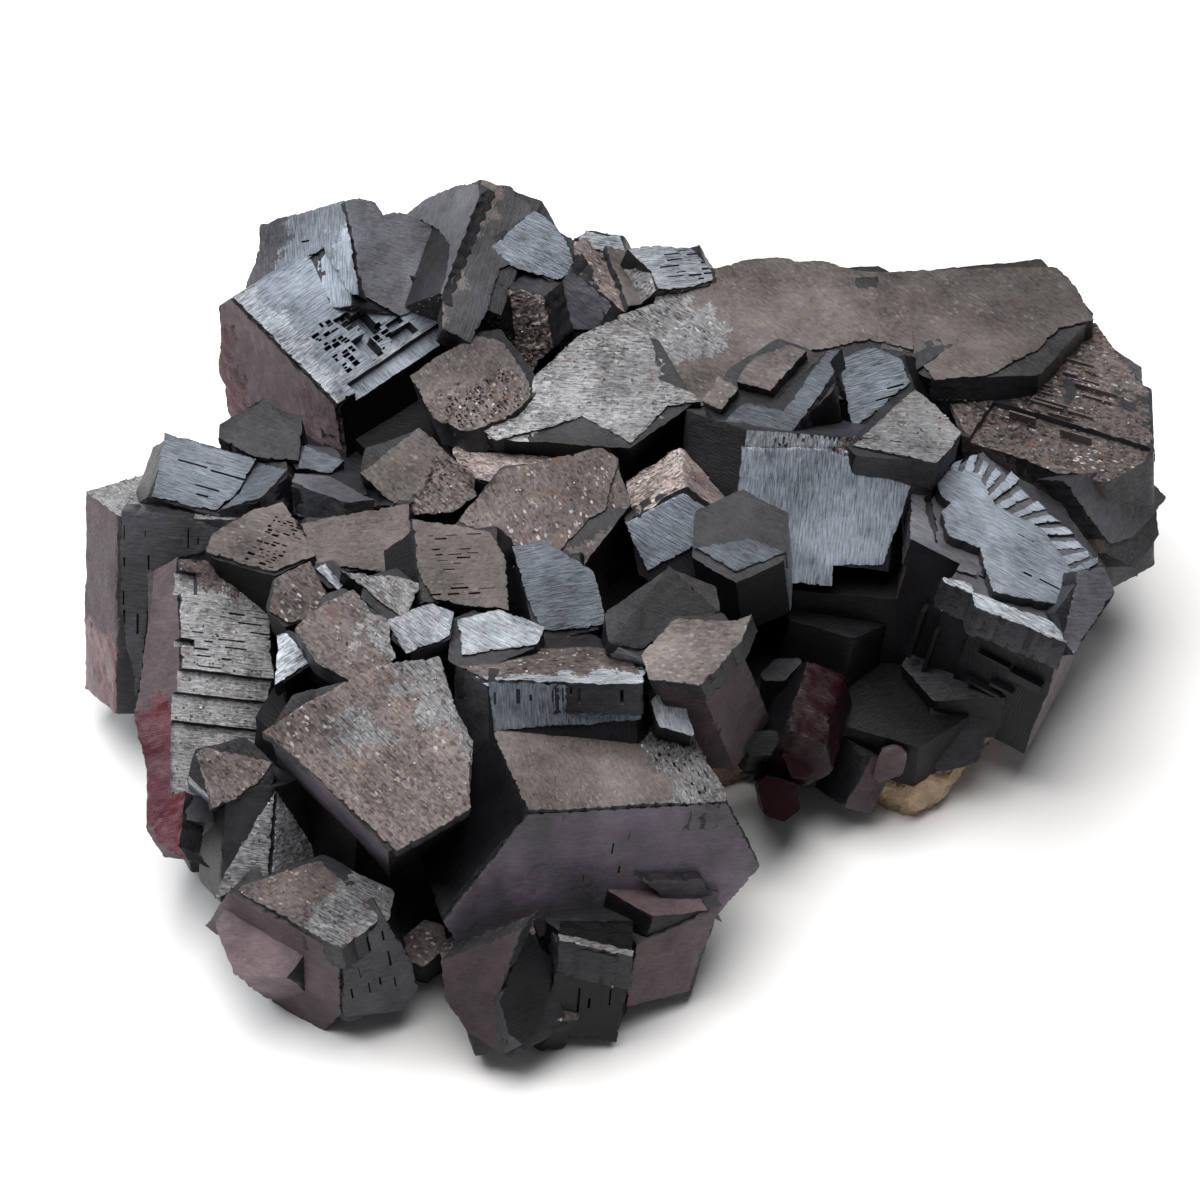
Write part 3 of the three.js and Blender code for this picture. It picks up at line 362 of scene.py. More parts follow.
# The outlines of the faces that show: their corners as read off the photograph, in pixels
OUTLINES = {
    ("topLeftBlock", "p1"): [
        (232, 298), (322, 247), (333, 258), (345, 278), (349, 296), (361, 295), (376, 288), (398, 280),
        (438, 320), (442, 332), (357, 385), (358, 393), (337, 406),
    ],
    ("topLeftBlock", "t"): [
        (221, 303), (232, 298), (337, 406), (345, 462), (300, 436), (264, 400), (246, 414), (235, 400),
        (221, 377), (218, 360), (221, 339),
    ],
    ("topLeftBlock", "p0"): [
        (337, 406), (357, 385), (442, 332), (450, 353), (435, 400), (400, 440), (345, 462),
    ],
    ("crestLeft", "p0"): [
        (246, 300), (246, 285), (256, 265), (262, 235), (268, 224), (277, 218), (299, 213), (344, 200),
        (352, 240), (361, 297), (350, 296), (324, 250),
    ],
    ("crestLeft", "p1"): [
        (344, 200), (356, 198), (374, 201), (383, 213), (396, 211), (409, 215), (439, 231), (450, 247),
        (442, 301), (400, 318), (361, 297),
    ],
    ("crestMiddle", "p0"): [
        (405, 216), (428, 198), (460, 185), (487, 182), (442, 301), (450, 247), (439, 231),
    ],
    ("crestMiddle", "p1"): [
        (485, 182), (512, 186), (517, 196), (533, 206), (540, 250), (500, 270), (489, 310), (470, 345),
        (440, 330), (442, 300),
    ],
    ("blueQuad", "t"): [
        (490, 248), (534, 209), (554, 224), (566, 240), (577, 268), (560, 283), (510, 267),
    ],
    ("brownRough", "p0"): [
        (489, 269), (510, 267), (560, 283), (570, 335), (533, 374), (504, 342), (487, 310),
    ],
    ("backMound", "t"): [
        (565, 240), (607, 236), (620, 251), (655, 292), (652, 310), (624, 312), (579, 275),
    ],
    ("backMound", "p0"): [
        (579, 275), (624, 312), (615, 325), (590, 330), (559, 330), (560, 283), (572, 265),
    ],
    ("backChip", "p0"): [
        (575, 240), (585, 229), (607, 236), (621, 235), (626, 252), (605, 254), (590, 250),
    ],
    ("brightBack", "p0"): [
        (626, 250), (650, 244), (690, 247), (709, 266), (715, 281), (690, 288), (657, 292), (650, 272),
    ],
    ("plateau", "t"): [
        (615, 316), (652, 305), (657, 290), (713, 283), (713, 269), (747, 260), (785, 258), (800, 262),
        (824, 262), (856, 272), (883, 273), (910, 272), (915, 352), (870, 342), (827, 350), (760, 362),
        (720, 384), (702, 410), (668, 408),
    ],
    ("plateauRight", "t"): [
        (875, 273), (960, 269), (1056, 267), (1075, 285), (1096, 322), (1060, 330), (1040, 350),
        (990, 378), (934, 382), (912, 355), (880, 350),
    ],
    ("silverFace", "t"): [
        (480, 429), (495, 441), (533, 433), (583, 418), (631, 446), (668, 408), (703, 403), (694, 392),
        (661, 379), (658, 362), (657, 349), (648, 331), (615, 318), (576, 336), (530, 379), (531, 397),
        (520, 410),
    ],
    ("steppedGrey", "t"): [
        (409, 379), (440, 355), (476, 336), (504, 342), (530, 379), (531, 397), (520, 410), (480, 429),
        (460, 432), (434, 420),
    ],
    ("steppedSmall", "t"): [
        (359, 475), (421, 426), (450, 456), (480, 495), (455, 512), (413, 516), (392, 503),
    ],
    ("farLeft", "p1"): [
        (120, 510), (185, 515), (225, 530), (205, 554), (178, 558), (155, 572), (144, 651), (138, 705),
        (119, 606),
    ],
    ("stripedBlue", "p0"): [(165, 432), (258, 460), (239, 493), (216, 513), (151, 498)],
    ("darkQuad", "t"): [(217, 440), (246, 414), (264, 400), (302, 436), (300, 463), (258, 460)],
    ("smallQuad", "t"): [(304, 445), (345, 461), (332, 475), (297, 470)],
    ("greyStep", "t"): [(257, 462), (290, 470), (263, 500), (217, 513), (239, 495)],
    ("tent", "t"): [(290, 484), (295, 475), (330, 478), (376, 503), (345, 505)],
    ("tent", "p0"): [(290, 484), (376, 503), (410, 504), (299, 525)],
    ("greyTop", "t"): [
        (205, 554), (212, 536), (251, 511), (282, 502), (294, 517), (319, 556), (273, 574),
    ],
    ("brownNose", "t"): [(275, 577), (310, 560), (327, 594), (325, 615), (289, 626), (268, 612)],
    ("pane", "p0"): [(299, 523), (409, 503), (417, 577), (315, 567)],
    ("linedBlock", "p1"): [
        (178, 558), (231, 560), (273, 573), (271, 640), (276, 682), (262, 704), (266, 745), (195, 748),
        (187, 760), (180, 700),
    ],
    ("linedBlock", "p0"): [
        (155, 572), (178, 558), (182, 700), (195, 746), (187, 791), (181, 845), (189, 862), (156, 841),
        (152, 787), (134, 720), (144, 651),
    ],
    ("goldenTop", "t"): [(195, 752), (205, 746), (274, 761), (262, 780), (239, 798), (211, 812)],
    ("triangular", "p0"): [(276, 789), (222, 873), (214, 900), (270, 881)],
    ("triangular", "p1"): [(276, 789), (323, 860), (270, 881)],
    ("cornerBlock", "t"): [(229, 889), (321, 860), (385, 918), (341, 951)],
    ("cornerBlock", "p0"): [
        (205, 925), (229, 889), (341, 951), (343, 1014), (324, 1030), (276, 1010), (250, 955),
    ],
    ("cornerBlock", "p1"): [(341, 951), (385, 918), (412, 960), (418, 989), (400, 1010), (343, 1016)],
    ("sparklyTop", "t"): [
        (260, 731), (312, 698), (378, 664), (440, 655), (470, 750), (472, 810), (397, 854), (320, 781),
    ],
    ("roundedBrown", "t"): [
        (293, 627), (320, 605), (353, 587), (380, 622), (397, 658), (351, 683), (314, 662),
    ],
    ("whiteLeft", "t"): [(276, 634), (287, 631), (314, 662), (274, 688)],
    ("silverSliver", "t"): [(313, 569), (325, 563), (345, 585), (338, 592)],
    ("silverCorner", "t"): [(340, 571), (398, 576), (424, 583), (405, 622), (378, 601)],
    ("linedBrown", "p0"): [(410, 518), (491, 530), (507, 560), (510, 613), (431, 601), (417, 577)],
    ("whiteMiddle", "t"): [(385, 622), (431, 601), (456, 611), (449, 638), (405, 656)],
    ("whiteRight", "t"): [(456, 620), (500, 609), (546, 627), (539, 646), (461, 658)],
    ("brownCentre", "t"): [
        (455, 522), (500, 470), (600, 446), (620, 458), (608, 510), (590, 520), (560, 552), (512, 546),
        (490, 535),
    ],
    ("blueCurved", "p0"): [
        (512, 546), (545, 541), (595, 573), (608, 624), (575, 632), (540, 632), (522, 590),
    ],
    ("speckledPeak", "t"): [(623, 520), (683, 490), (735, 525), (729, 553), (693, 548), (646, 573)],
    ("darkWedge", "t"): [(693, 548), (752, 538), (787, 552), (735, 575)],
    ("darkRoof", "t"): [(669, 566), (720, 612), (639, 652), (607, 645)],
    ("beigeTop", "t"): [
        (641, 654), (675, 619), (737, 621), (752, 614), (745, 640), (701, 688), (647, 681),
    ],
    ("domedBlock", "t"): [
        (452, 665), (470, 655), (540, 648), (625, 649), (646, 681), (641, 686), (487, 682),
    ],
    ("domedBlock", "p0"): [(487, 680), (641, 684), (643, 720), (494, 731)],
    ("frontHexagon", "t"): [
        (527, 811), (728, 801), (761, 865), (718, 915), (630, 930), (540, 938), (458, 947), (441, 921),
    ],
    ("frontHexagon", "p0"): [
        (491, 733), (515, 721), (655, 720), (685, 728), (727, 790), (728, 803), (527, 813),
    ],
    ("frontBlock", "t"): [(559, 921), (634, 922), (633, 963), (557, 947)],
    ("frontBlock", "p0"): [(557, 947), (633, 963), (616, 1043), (543, 1031)],
    ("frontFoot", "p1"): [(525, 926), (553, 961), (543, 1022), (512, 1057), (497, 1000)],
    ("frontFoot", "p0"): [(440, 959), (525, 926), (500, 1000), (512, 1057), (470, 1035), (445, 1000)],
    ("redFoot", "p0"): [(634, 944), (721, 904), (700, 954), (690, 990), (658, 998), (625, 1007)],
    ("steppedPlates", "t"): [
        (702, 408), (720, 384), (775, 398), (827, 352), (838, 378), (785, 447), (714, 425),
    ],
    ("lavender", "p0"): [(837, 361), (870, 345), (901, 356), (913, 384), (851, 431)],
    ("sparklyApex", "t"): [(853, 447), (895, 405), (915, 390), (940, 410), (964, 435), (936, 465)],
    ("bluePlate", "p0"): [
        (741, 446), (848, 448), (922, 451), (915, 477), (884, 564), (833, 566), (831, 587), (785, 582),
        (787, 553), (735, 509),
    ],
    ("steppedRight", "t"): [
        (925, 480), (983, 452), (1043, 509), (1104, 565), (1068, 640), (1010, 618), (938, 577),
        (934, 520),
    ],
    ("brownRight", "t"): [
        (934, 378), (990, 378), (1040, 345), (1053, 320), (1096, 322), (1125, 360), (1151, 393),
        (1155, 440), (1131, 462), (1060, 470), (963, 433),
    ],
    ("rightTip", "t"): [(1060, 480), (1131, 460), (1168, 498), (1133, 538), (1108, 546)],
    ("rightChip", "t"): [(1075, 570), (1104, 565), (1115, 590), (1073, 655), (1062, 640)],
}

# More such plates, with corners read off the photograph, in pixels: how far they stand out, look, corners
SEEN_PLATES = {
    ("steppedPlates", "t"): [
        (0.5, "steel-3", [
            (714.7, 426.7), (744.4, 437.8), (747, 433.5), (785.2, 447.4), (837, 378.3), (833, 366),
            (845, 352), (827, 353), (783.5, 413), (744.4, 403.8), (724, 423.3)]),
        (1.3, "plain", [
            (736.8, 389.3), (774.2, 398.7), (809.9, 357.9), (790, 352), (760, 362), (745, 375)]),
        (1.1, "plain", [
            (701.9, 408.9), (722.3, 417.9), (741, 393.6), (736.8, 389.3), (720.6, 380.8)]),
    ],
    ("steppedRight", "t"): [
        (0.45, "slate+3", [
            (908.9, 483.8), (924.9, 491), (926.3, 517), (936.5, 546), (975.8, 572.4), (977.2, 582.6),
            (907.4, 556.4)]),
        (1.3, "steel", [
            (929.2, 478), (975.8, 482.3), (993.2, 514.3), (1039.7, 537.5), (1074.6, 586.9),
            (1062.9, 616), (1028, 610), (988.8, 601.5), (975.8, 557.9), (943.8, 546.2), (936.5, 520),
            (946.7, 512.8), (935, 504)]),
        (0.5, "silver", [
            (938, 576.8), (969.9, 586.9), (975.8, 595.6), (1065.9, 630.5), (1065.9, 649.4),
            (971.4, 611.6), (968.5, 598.5), (939.4, 586.9)]),
    ],
    ("brownRough", "p0"): [(3.6, "knobbly+2", OUTLINES["brownRough", "p0"])],
    ("frontBlock", "t"): [(0.6, "pewter-1", [
        (557, 947), (633, 963), (634, 955), (558, 939)])],
}

# Flights of narrow blocks from an inner line to an outer one, read off the photograph, in pixels: the
# lines, how many blocks, how far they stand out, look
FLIGHTS = {
    ("steppedRight", "t"): [
        (
            [(929, 478), (975.8, 482.3), (993.2, 514.3), (1039.7, 537.5), (1074.6, 586.9)],
            [(931, 472), (975.8, 453), (1010, 475), (1050, 510), (1092, 546), (1097.8, 566.6)],
            13, 0.9, "steel+1",
        ),
    ],
}

# Faces whose streaks run away from the upper edge
UPRIGHT = {("topLeftBlock", "p1"), ("crestLeft", "p0"), ("crestMiddle", "p0"), ("crestMiddle", "p1"),
           ("bluePlate", "p0"), ("domedBlock", "p0"), ("steppedRight", "p0"), ("frontBlock", "p0"),
           ("darkWedge", "p0"), ("frontHexagon", "p0")}

# Rows of small pits (below zero) or ridges (above) in a face: along, away, size of one, gaps, height
ROWS = {
    "topLeftBlock": [("p1", (1.6, 8.6), (3.6, 12.6), (0.45, 1.1), (0.1, 0.1), -0.9)],
    "greyTop": [("t", (3.5, 8), (0.8, 8), (0.6, 0.35), (0.4, 0.12), -0.35)],
    "linedBrown": [("p0", (0.8, 7.5), (0.8, 8), (1.3, 0.22), (0.9, 0.35), -0.3)],
    "linedBlock": [("p1", (0.5, 10), (2, 16), (2.2, 0.25), (1.1, 0.6), -0.4)],
    "steppedRight": [
        ("t", (7, 16), (0.5, 4.5), (2.4, 0.3), (0.7, 0.45), -0.7),
        ("t", (1, 12), (4.5, 10.5), (1.9, 0.18), (1.2, 1.1), -0.9),
        ("p0", (9.2, 18), (2.6, 14), (3.4, 1.1), (0.35, 0.3), 0.5),
        ("p0", (1, 8), (-0.5, 13.5), (0.5, 13), (1.3, 9), 0.3),
    ],
    "brownCentre": [("t", (7.5, 11), (1, 9), (0.7, 0.4), (0.4, 0.5), -0.5)],
    "crestLeft": [("p0", (3, 8), (3, 6), (0.8, 0.5), (1.0, 0.8), -0.7)],
    "brightBack": [("p0", (0.8, 8.5), (0.8, 4.8), (1.6, 0.3), (0.6, 0.4), -0.35)],
    "frontHexagon": [
        ("p0", (0.5, 5), (1, 12), (0.25, 1.1), (0.7, 0.4), -0.25),
        ("t", (4, 15), (3, 12), (0.14, 1.9), (2.6, 2.4), -0.25),
    ],
    "farLeft": [("p1", (0.8, 10), (0.8, 14), (0.22, 2.4), (1.2, 0.9), -0.35)],
    "cornerBlock": [("p1", (0.6, 7), (0.8, 12), (0.18, 2.4), (1.6, 0.8), -0.3)],
    "brownRight": [("t", (2, 14), (4.5, 16), (3.6, 0.25), (0.6, 0.35), 0.25)],
    "steppedGrey": [("t", (4.5, 12), (1.2, 9.5), (0.7, 0.35), (0.35, 0.15), -0.3)],
    "lavender": [("p0", (1, 7), (1, 7), (2.1, 0.25), (0.8, 0.8), -0.25)],
    "stripedBlue": [("p0", (1, 9.5), (0.8, 6.2), (2.8, 0.22), (0.6, 0.75), -0.25)],
    "domedBlock": [("p0", (0.5, 15), (0.3, 3), (0.35, 1.8), (0.7, 0.4), -0.3)],
    "bluePlate": [("p0", (0.5, 19), (0.3, 1.4), (0.25, 0.9), (0.9, 0.4), -0.4)],
    "frontBlock": [("p0", (0.6, 8.2), (1, 11), (0.25, 3.6), (1.1, 0.6), -0.3)],
}

def noise(x, y, seed):
    """Smooth value noise from 0 to 1 on a unit lattice."""
    table = np.random.default_rng(seed).random((64, 64))
    x0, y0 = np.floor(x).astype(int), np.floor(y).astype(int)
    fx, fy = x - x0, y - y0
    fx, fy = fx * fx * (3 - 2 * fx), fy * fy * (3 - 2 * fy)
    at = lambda i, j: table[(x0 + i) % 64, (y0 + j) % 64]
    low = at(0, 0) * (1 - fx) + at(1, 0) * fx
    high = at(0, 1) * (1 - fx) + at(1, 1) * fx
    return low * (1 - fy) + high * fy


def rotation(tilt, toward, turn):
    """The turn of a crystal from upright: about its axis, then its lean, then the heading of the lean."""
    def about_z(degrees):
        c, s = np.cos(np.radians(degrees)), np.sin(np.radians(degrees))
        return np.array([[c, -s, 0], [s, c, 0], [0, 0, 1]])

    c, s = np.cos(np.radians(tilt)), np.sin(np.radians(tilt))
    about_y = np.array([[c, 0, s], [0, 1, 0], [-s, 0, c]])
    return about_z(toward) @ about_y @ about_z(turn)


def section(sides, skew):
    """Corners of a crystal's section. Corner k lies between its side faces k and k + 1."""
    corners = []
    for k in range(6):
        a, b = np.radians(60 * k + skew[k]), np.radians(60 * (k + 1) + skew[(k + 1) % 6])
        here, there = sides[k], sides[(k + 1) % 6]
        corners.append((here * np.sin(b) - there * np.sin(a), there * np.cos(a) - here * np.cos(b)))
        corners[-1] = np.array(corners[-1]) / np.sin(b - a)
    return np.array(corners)


def face_frames(corners, up, down):
    """Each face's corner of origin and its directions along, away from its upper edge, and outwards."""
    axis = np.array([0.0, 0, 1])
    frames = {}
    for k, end in enumerate(corners):
        start = corners[k - 1]
        along = np.append(end - start, 0) / np.linalg.norm(end - start)
        frames[f"p{k}"] = (np.append(start, up), along, -axis, np.cross(along, axis))
    _, along, _, outward = frames["p0"]
    frames["t"] = (np.append(corners[-1], up), along, -outward, axis)
    frames["b"] = (np.append(corners[-1], -down), along, -outward, -axis)
    return frames


class Prism:
    """A crystal, a plate on it or a block cut into it: its section, its reach and where it stands."""

    def __init__(self, name, corners, up, down, turned, at, looks, worn=1.0):
        self.name, self.corners, self.up, self.down = name, corners, up, down
        self.turned, self.at, self.looks, self.worn = turned, np.array(at, float), looks, worn
        self.frames = face_frames(corners, up, down)
        self.patches = {key: PATCHES.get((name, key), []) for key in self.frames}
        self.upright = {key for key in self.frames if (name, key) in UPRIGHT}
        self.cell = None
        self.normals = np.array([frame[3] for frame in self.frames.values()]) @ turned.T
        origins = np.array([frame[0] for frame in self.frames.values()]) @ turned.T + self.at
        self.offsets = (self.normals * origins).sum(1)
        self.reach = np.sqrt((corners ** 2).sum(1).max() + max(up, down) ** 2)

    def world(self, points):
        return points @ self.turned.T + self.at

    def depth_inside(self, points):
        return (self.offsets - points @ self.normals.T).min(1)


def seen_on_face(prism, key, corners):
    """Where corners read off the photograph lie on a face: mm along and away from its upper edge."""
    origin, along, away, outward = prism.frames[key]
    eye = (CAMERA_TARGET + CAMERA_DISTANCE * CAMERA_BACK - prism.at) @ prism.turned
    right, down = (np.array(corners).T - PHOTO_WIDTH / 2) * SENSOR / LENS / PHOTO_WIDTH
    sight = np.outer(right, (1, 0, 0)) - np.outer(down, CAMERA_UP) - CAMERA_BACK
    sight = sight @ prism.turned
    reach = (origin - eye) @ outward / (sight @ outward)
    places = eye + reach[:, None] * sight - origin
    return np.column_stack([places @ along, places @ away]).round(1)


def read_crystals():
    crystals = {}
    for group in CRYSTALS.values():
        for name, (at, lean, sides, (up, down)) in group.items():
            corners = section(sides, SKEW.get(name, (0,) * 6))
            looks = dict(pair.split(":") for pair in LOOKS.get(name, "").split())
            crystals[name] = Prism(name, corners, up, down, rotation(*lean), at, looks)
    return crystals


def finish_and_painted_light(look):
    """A look's finish and its painted light and shade. A look is a finish with its steps of painted light and
    shade, as in slate-1.
    """
    name, _, steps = look.replace("-", "+-").partition("+")
    return FINISHES_AND_PAINTED_LIGHT[name], PAINTED_LIGHT_STEP ** int(steps or 0)


def darkened(look, steps):
    """The same finish, some steps of painted shade darker."""
    name, _, shade = look.replace("-", "+-").partition("+")
    shade = int(shade or 0) - steps
    return f"{name}{shade:+d}" if shade else name


def buried(prism, points, others):
    """Which points lie well inside a neighbour."""
    world = prism.world(points)
    inside = world[:, 2] < -0.5
    for other in others:
        if np.linalg.norm(other.at - prism.at) < other.reach + prism.reach:
            inside |= other.depth_inside(world) > BURIED
    return inside


def cell_of(prism, key):
    """Grid size of a face: fine where it faces the front or the sky, coarse below."""
    outward = prism.turned @ prism.frames[key][3]
    if prism.cell:
        return prism.cell if key == "t" else 2 * prism.cell
    if prism.name.startswith("ground"):
        return CELL_UNDER
    if outward[2] < TURNED_DOWN:
        return CELL_UNDER
    return CELL_PLAIN if outward @ TOWARDS_FRONT > 0.02 else CELL_BEHIND


def looks_on(prism, key, u, v, seed):
    """The look at each point of a face, patches included."""
    # Side faces and filler crystals default to jet, painted shade
    default = PAINTED_SHADE_LOOK if prism.name.startswith("ground") or key not in "tb" else "skin"
    if default == "jet" and (prism.turned @ prism.frames[key][3])[1] > BACKWARD:
        default = HIDDEN_LOOKS[seed % len(HIDDEN_LOOKS)]
    looks = np.full(len(u), prism.looks.get(key, default), dtype=object)
    ragged_u = u + 1.8 * (noise(u / 0.9, v / 0.9, seed + 5) - 0.5) + 3 * (noise(u / 3, v / 2, seed + 7) - 0.5)
    ragged_v = v + 1.8 * (noise(u / 0.7, v / 0.7, seed + 6) - 0.5) + 3 * (noise(u / 2, v / 3, seed + 8) - 0.5)
    # Patches: the pale ones are painted reflections
    for along, away, look in prism.patches.get(key, []):
        inside = (ragged_u > along[0]) & (ragged_u < along[1]) & (ragged_v > away[0]) & (ragged_v < away[1])
        looks[inside] = look
    return looks


def relief_depth(u, v, looks, seed):
    """How far each point of a face is pressed in by the relief and the terraces of its finish."""
    depth = np.zeros(len(u))
    for look in set(looks):
        here = looks == look
        (fine, along, away), (drop, size, steps) = finish_and_painted_light(look)[0][5:]
        x, y = u[here], v[here]
        grain = noise(x / along, y / away, seed) + 0.5 * noise(2 * x / along, 2.3 * y / away, seed + 1)
        waves = 0.7 * noise(x / size, 1.4 * y / size, seed + 2)
        waves += 0.3 * noise(3 * x / size, 3 * y / size, seed + 3)
        depth[here] = fine * grain / 1.5 + drop * np.floor(steps * waves) / steps
    return depth


def gridded(prism, others, seed):
    """The prism's vertices, triangles, and each corner's look and place on its face."""
    rng = np.random.default_rng(seed)
    count = len(prism.corners)
    rings = [np.column_stack([prism.corners, np.full(count, z)]) for z in (prism.up, -prism.down)]
    points = [np.vstack(rings)]
    total = 2 * count
    edges = {}

    def edge(i, j, cell):
        nonlocal total
        key = (min(i, j), max(i, j))
        if key not in edges:
            a, b = points[0][key[0]], points[0][key[1]]
            steps = max(int(np.ceil(np.linalg.norm(b - a) / cell)), 1)
            between = a + (np.arange(1, steps) / steps)[:, None] * (b - a)
            between = between[~buried(prism, between, others)]
            edges[key] = np.arange(total, total + len(between))
            points.append(between)
            total += len(between)
        return edges[key] if i < j else edges[key][::-1]

    triangles, looks, places, moves = [], [], [], []
    cells = {key: cell_of(prism, key) for key in prism.frames}
    for number, (key, (origin, along, away, outward)) in enumerate(prism.frames.items()):
        if key == "t":
            loop = list(range(count))
        elif key == "b":
            loop = list(range(count, 2 * count))
        else:
            k = int(key[1:])
            loop = [(k - 1) % count, k, count + k, count + (k - 1) % count]
        ring = []
        for i, j in zip(loop, loop[1:] + loop[:1]):
            ring += [[i], edge(i, j, min(cells.values()))]
        ring = np.concatenate(ring).astype(int)
        outline = np.vstack(points)[ring] - origin
        flat = np.column_stack([outline @ along, outline @ away])
        corner_flat = (points[0][loop] - origin) @ np.column_stack([along, away])
        grid = lattice(corner_flat, cells[key], rng)
        spots = origin + grid[:, :1] * along + grid[:, 1:] * away
        if len(spots):
            keep = ~buried(prism, spots, others)
            grid, spots = grid[keep], spots[keep]
        ids = np.concatenate([ring, np.arange(total, total + len(grid))])
        points.append(spots)
        total += len(grid)
        flat = np.vstack([flat, grid])
        rows = triangulated(flat, len(ring))
        if np.cross(along, away) @ outward < 0:
            rows = rows[:, ::-1]
        seed_here = seed * 16 + min(number, 15)
        look = looks_on(prism, key, flat[:, 0], flat[:, 1], seed_here)
        if key in prism.upright:
            flat = flat[:, ::-1]
        depth = relief_depth(flat[:, 0], flat[:, 1], look, seed_here)
        depth[: len(ring)] += 0.1 * rng.random(len(ring)) ** 2
        moves.append((ids, -depth[:, None] * outward * prism.worn))
        triangles.append(ids[rows])
        looks.append(look[rows[:, 0]])
        places.append(flat[rows].reshape(-1, 2))
    points = np.vstack(points)
    for ids, move in moves:
        np.add.at(points, ids, move)
    return points, np.vstack(triangles), np.concatenate(looks), np.vstack(places)


def lattice(corners, cell, rng):
    """Grid points inside an outline, in rows, clear of its edges."""
    low, high = corners.min(0), corners.max(0)
    u, v = np.meshgrid(np.arange(low[0], high[0], cell), np.arange(low[1], high[1], cell))
    grid = np.column_stack([u.ravel(), v.ravel()]) + 0.3 * cell
    grid += cell * 0.12 * rng.standard_normal(grid.shape)
    inside = np.zeros(len(grid), bool)
    clear = np.ones(len(grid), bool)
    for a, b in zip(corners, np.roll(corners, -1, 0)):
        if a[1] != b[1]:
            crossing = a[0] + (grid[:, 1] - a[1]) / (b[1] - a[1]) * (b[0] - a[0])
            inside ^= ((a[1] > grid[:, 1]) != (b[1] > grid[:, 1])) & (grid[:, 0] < crossing)
        reach = np.clip((grid - a) @ (b - a) / max((b - a) @ (b - a), 1e-9), 0, 1)
        clear &= np.linalg.norm(grid - a - reach[:, None] * (b - a), axis=1) > 0.5 * cell
    return grid[inside & clear]


def triangulated(flat, outline):
    """Triangles over the points, inside the outline that the first of them make."""
    vertices = [Vector(point) for point in flat]
    result = delaunay_2d_cdt(vertices, [], [list(range(outline))], 1, 1e-6)
    sources = np.array([origin[0] if origin else -1 for origin in result[3]])
    rows = sources[np.array(result[2])]
    rows = rows[(rows >= 0).all(1)]
    a, b, c = (flat[rows[:, i]] for i in range(3))
    turning = (b - a)[:, 0] * (c - a)[:, 1] - (b - a)[:, 1] * (c - a)[:, 0]
    rows[turning < 0] = rows[turning < 0][:, ::-1]
    return rows


def mesh_object(name, vertices, triangles, looks, places):
    """A mesh in metres, with its finish and its painted light and shade in attributes, and each face's own
    map.
    """
    mesh = bpy.data.meshes.new(name)
    mesh.vertices.add(len(vertices))
    mesh.vertices.foreach_set("co", (vertices * MM).astype(np.float32).ravel())
    mesh.loops.add(triangles.size)
    mesh.loops.foreach_set("vertex_index", triangles.astype(np.int32).ravel())
    mesh.polygons.add(len(triangles))
    mesh.polygons.foreach_set("loop_start", np.arange(0, triangles.size, 3, dtype=np.int32))
    mesh.update(calc_edges=True)
    tones, coats = np.ones((len(looks), 4), np.float32), np.ones((len(looks), 4), np.float32)
    for look in set(looks):
        (colour, metallic, roughness, skin, streaks, *_), shade = finish_and_painted_light(look)
        # tone: the finish's colour times its steps of painted light and shade
        tones[looks == look] = (*np.array(colour) * shade, roughness)
        coats[looks == look] = (metallic, skin, streaks, 1)
    for attribute, values in (("tone", tones), ("coat", coats)):
        layer = mesh.attributes.new(attribute, "FLOAT_COLOR", "FACE")
        layer.data.foreach_set("color", values.ravel())
    layer = mesh.uv_layers.new(name="faces")
    layer.data.foreach_set("uv", (places / MAP_UNIT).astype(np.float32).ravel())
    made = bpy.data.objects.new(name, mesh)
    bpy.context.scene.collection.objects.link(made)
    return made


def built(prism, others, seed, shift):
    vertices, triangles, looks, places = gridded(prism, others, seed)
    return mesh_object(prism.name, prism.world(vertices) + shift, triangles, looks, places)


def combined(base, others, operation):
    """base with the others joined on, cut away or shared. The others are used up."""
    operands = bpy.data.collections.new("operands")
    for other in others:
        operands.objects.link(other)
    modifier = base.modifiers.new(operation, "BOOLEAN")
    modifier.operation = operation
    modifier.operand_type = "COLLECTION"
    modifier.collection = operands
    modifier.solver = "MANIFOLD"
    shaped = base.evaluated_get(bpy.context.evaluated_depsgraph_get())
    mesh = bpy.data.meshes.new_from_object(shaped)
    if len(mesh.polygons) == 0:
        raise RuntimeError(f"{base.name}: nothing left after {operation}")
    base.modifiers.clear()
    base.data = mesh
    for other in others:
        bpy.data.objects.remove(other)
    bpy.data.collections.remove(operands)
    return base


def on_face(prism, key):
    """The turn of a frame that lies on a face, and whether the way away from its edge is its y or -y."""
    _, first, second, outward = prism.frames[key]
    sense = 1 if np.cross(first, second) @ outward > 0 else -1
    return prism.turned @ np.column_stack([first, sense * second, outward]), sense


def step_block(prism, key, along, away, height, looks):
    """A block on or in a face, from its frame."""
    origin, first, second, _ = prism.frames[key]
    low, high = (-1.5, height + PLATE_RISE) if height > 0 else (height, 1.5)
    half = np.array([along[1] - along[0], away[1] - away[0]]) / 2
    middle = origin + first * (along[0] + half[0]) + second * (away[0] + half[1])
    turned, _ = on_face(prism, key)
    corners = np.array([(half[0], -half[1]), (half[0], half[1]), (-half[0], half[1]), (-half[0], -half[1])])
    return Prism("step", corners, high, -low, turned, prism.world(middle), looks, 0.6)


def ragged(outline, rng):
    """An outline with nicks: its sides divided and their points moved a little."""
    points = []
    for a, b in zip(outline, np.roll(outline, -1, 0)):
        parts = max(int(np.linalg.norm(b - a) / RIM_STEP), 1)
        points += [a + (b - a) * part / parts for part in range(parts)]
    points = np.array(points)
    return points + RIM_WOBBLE * rng.standard_normal(points.shape).clip(-1.6, 1.6)


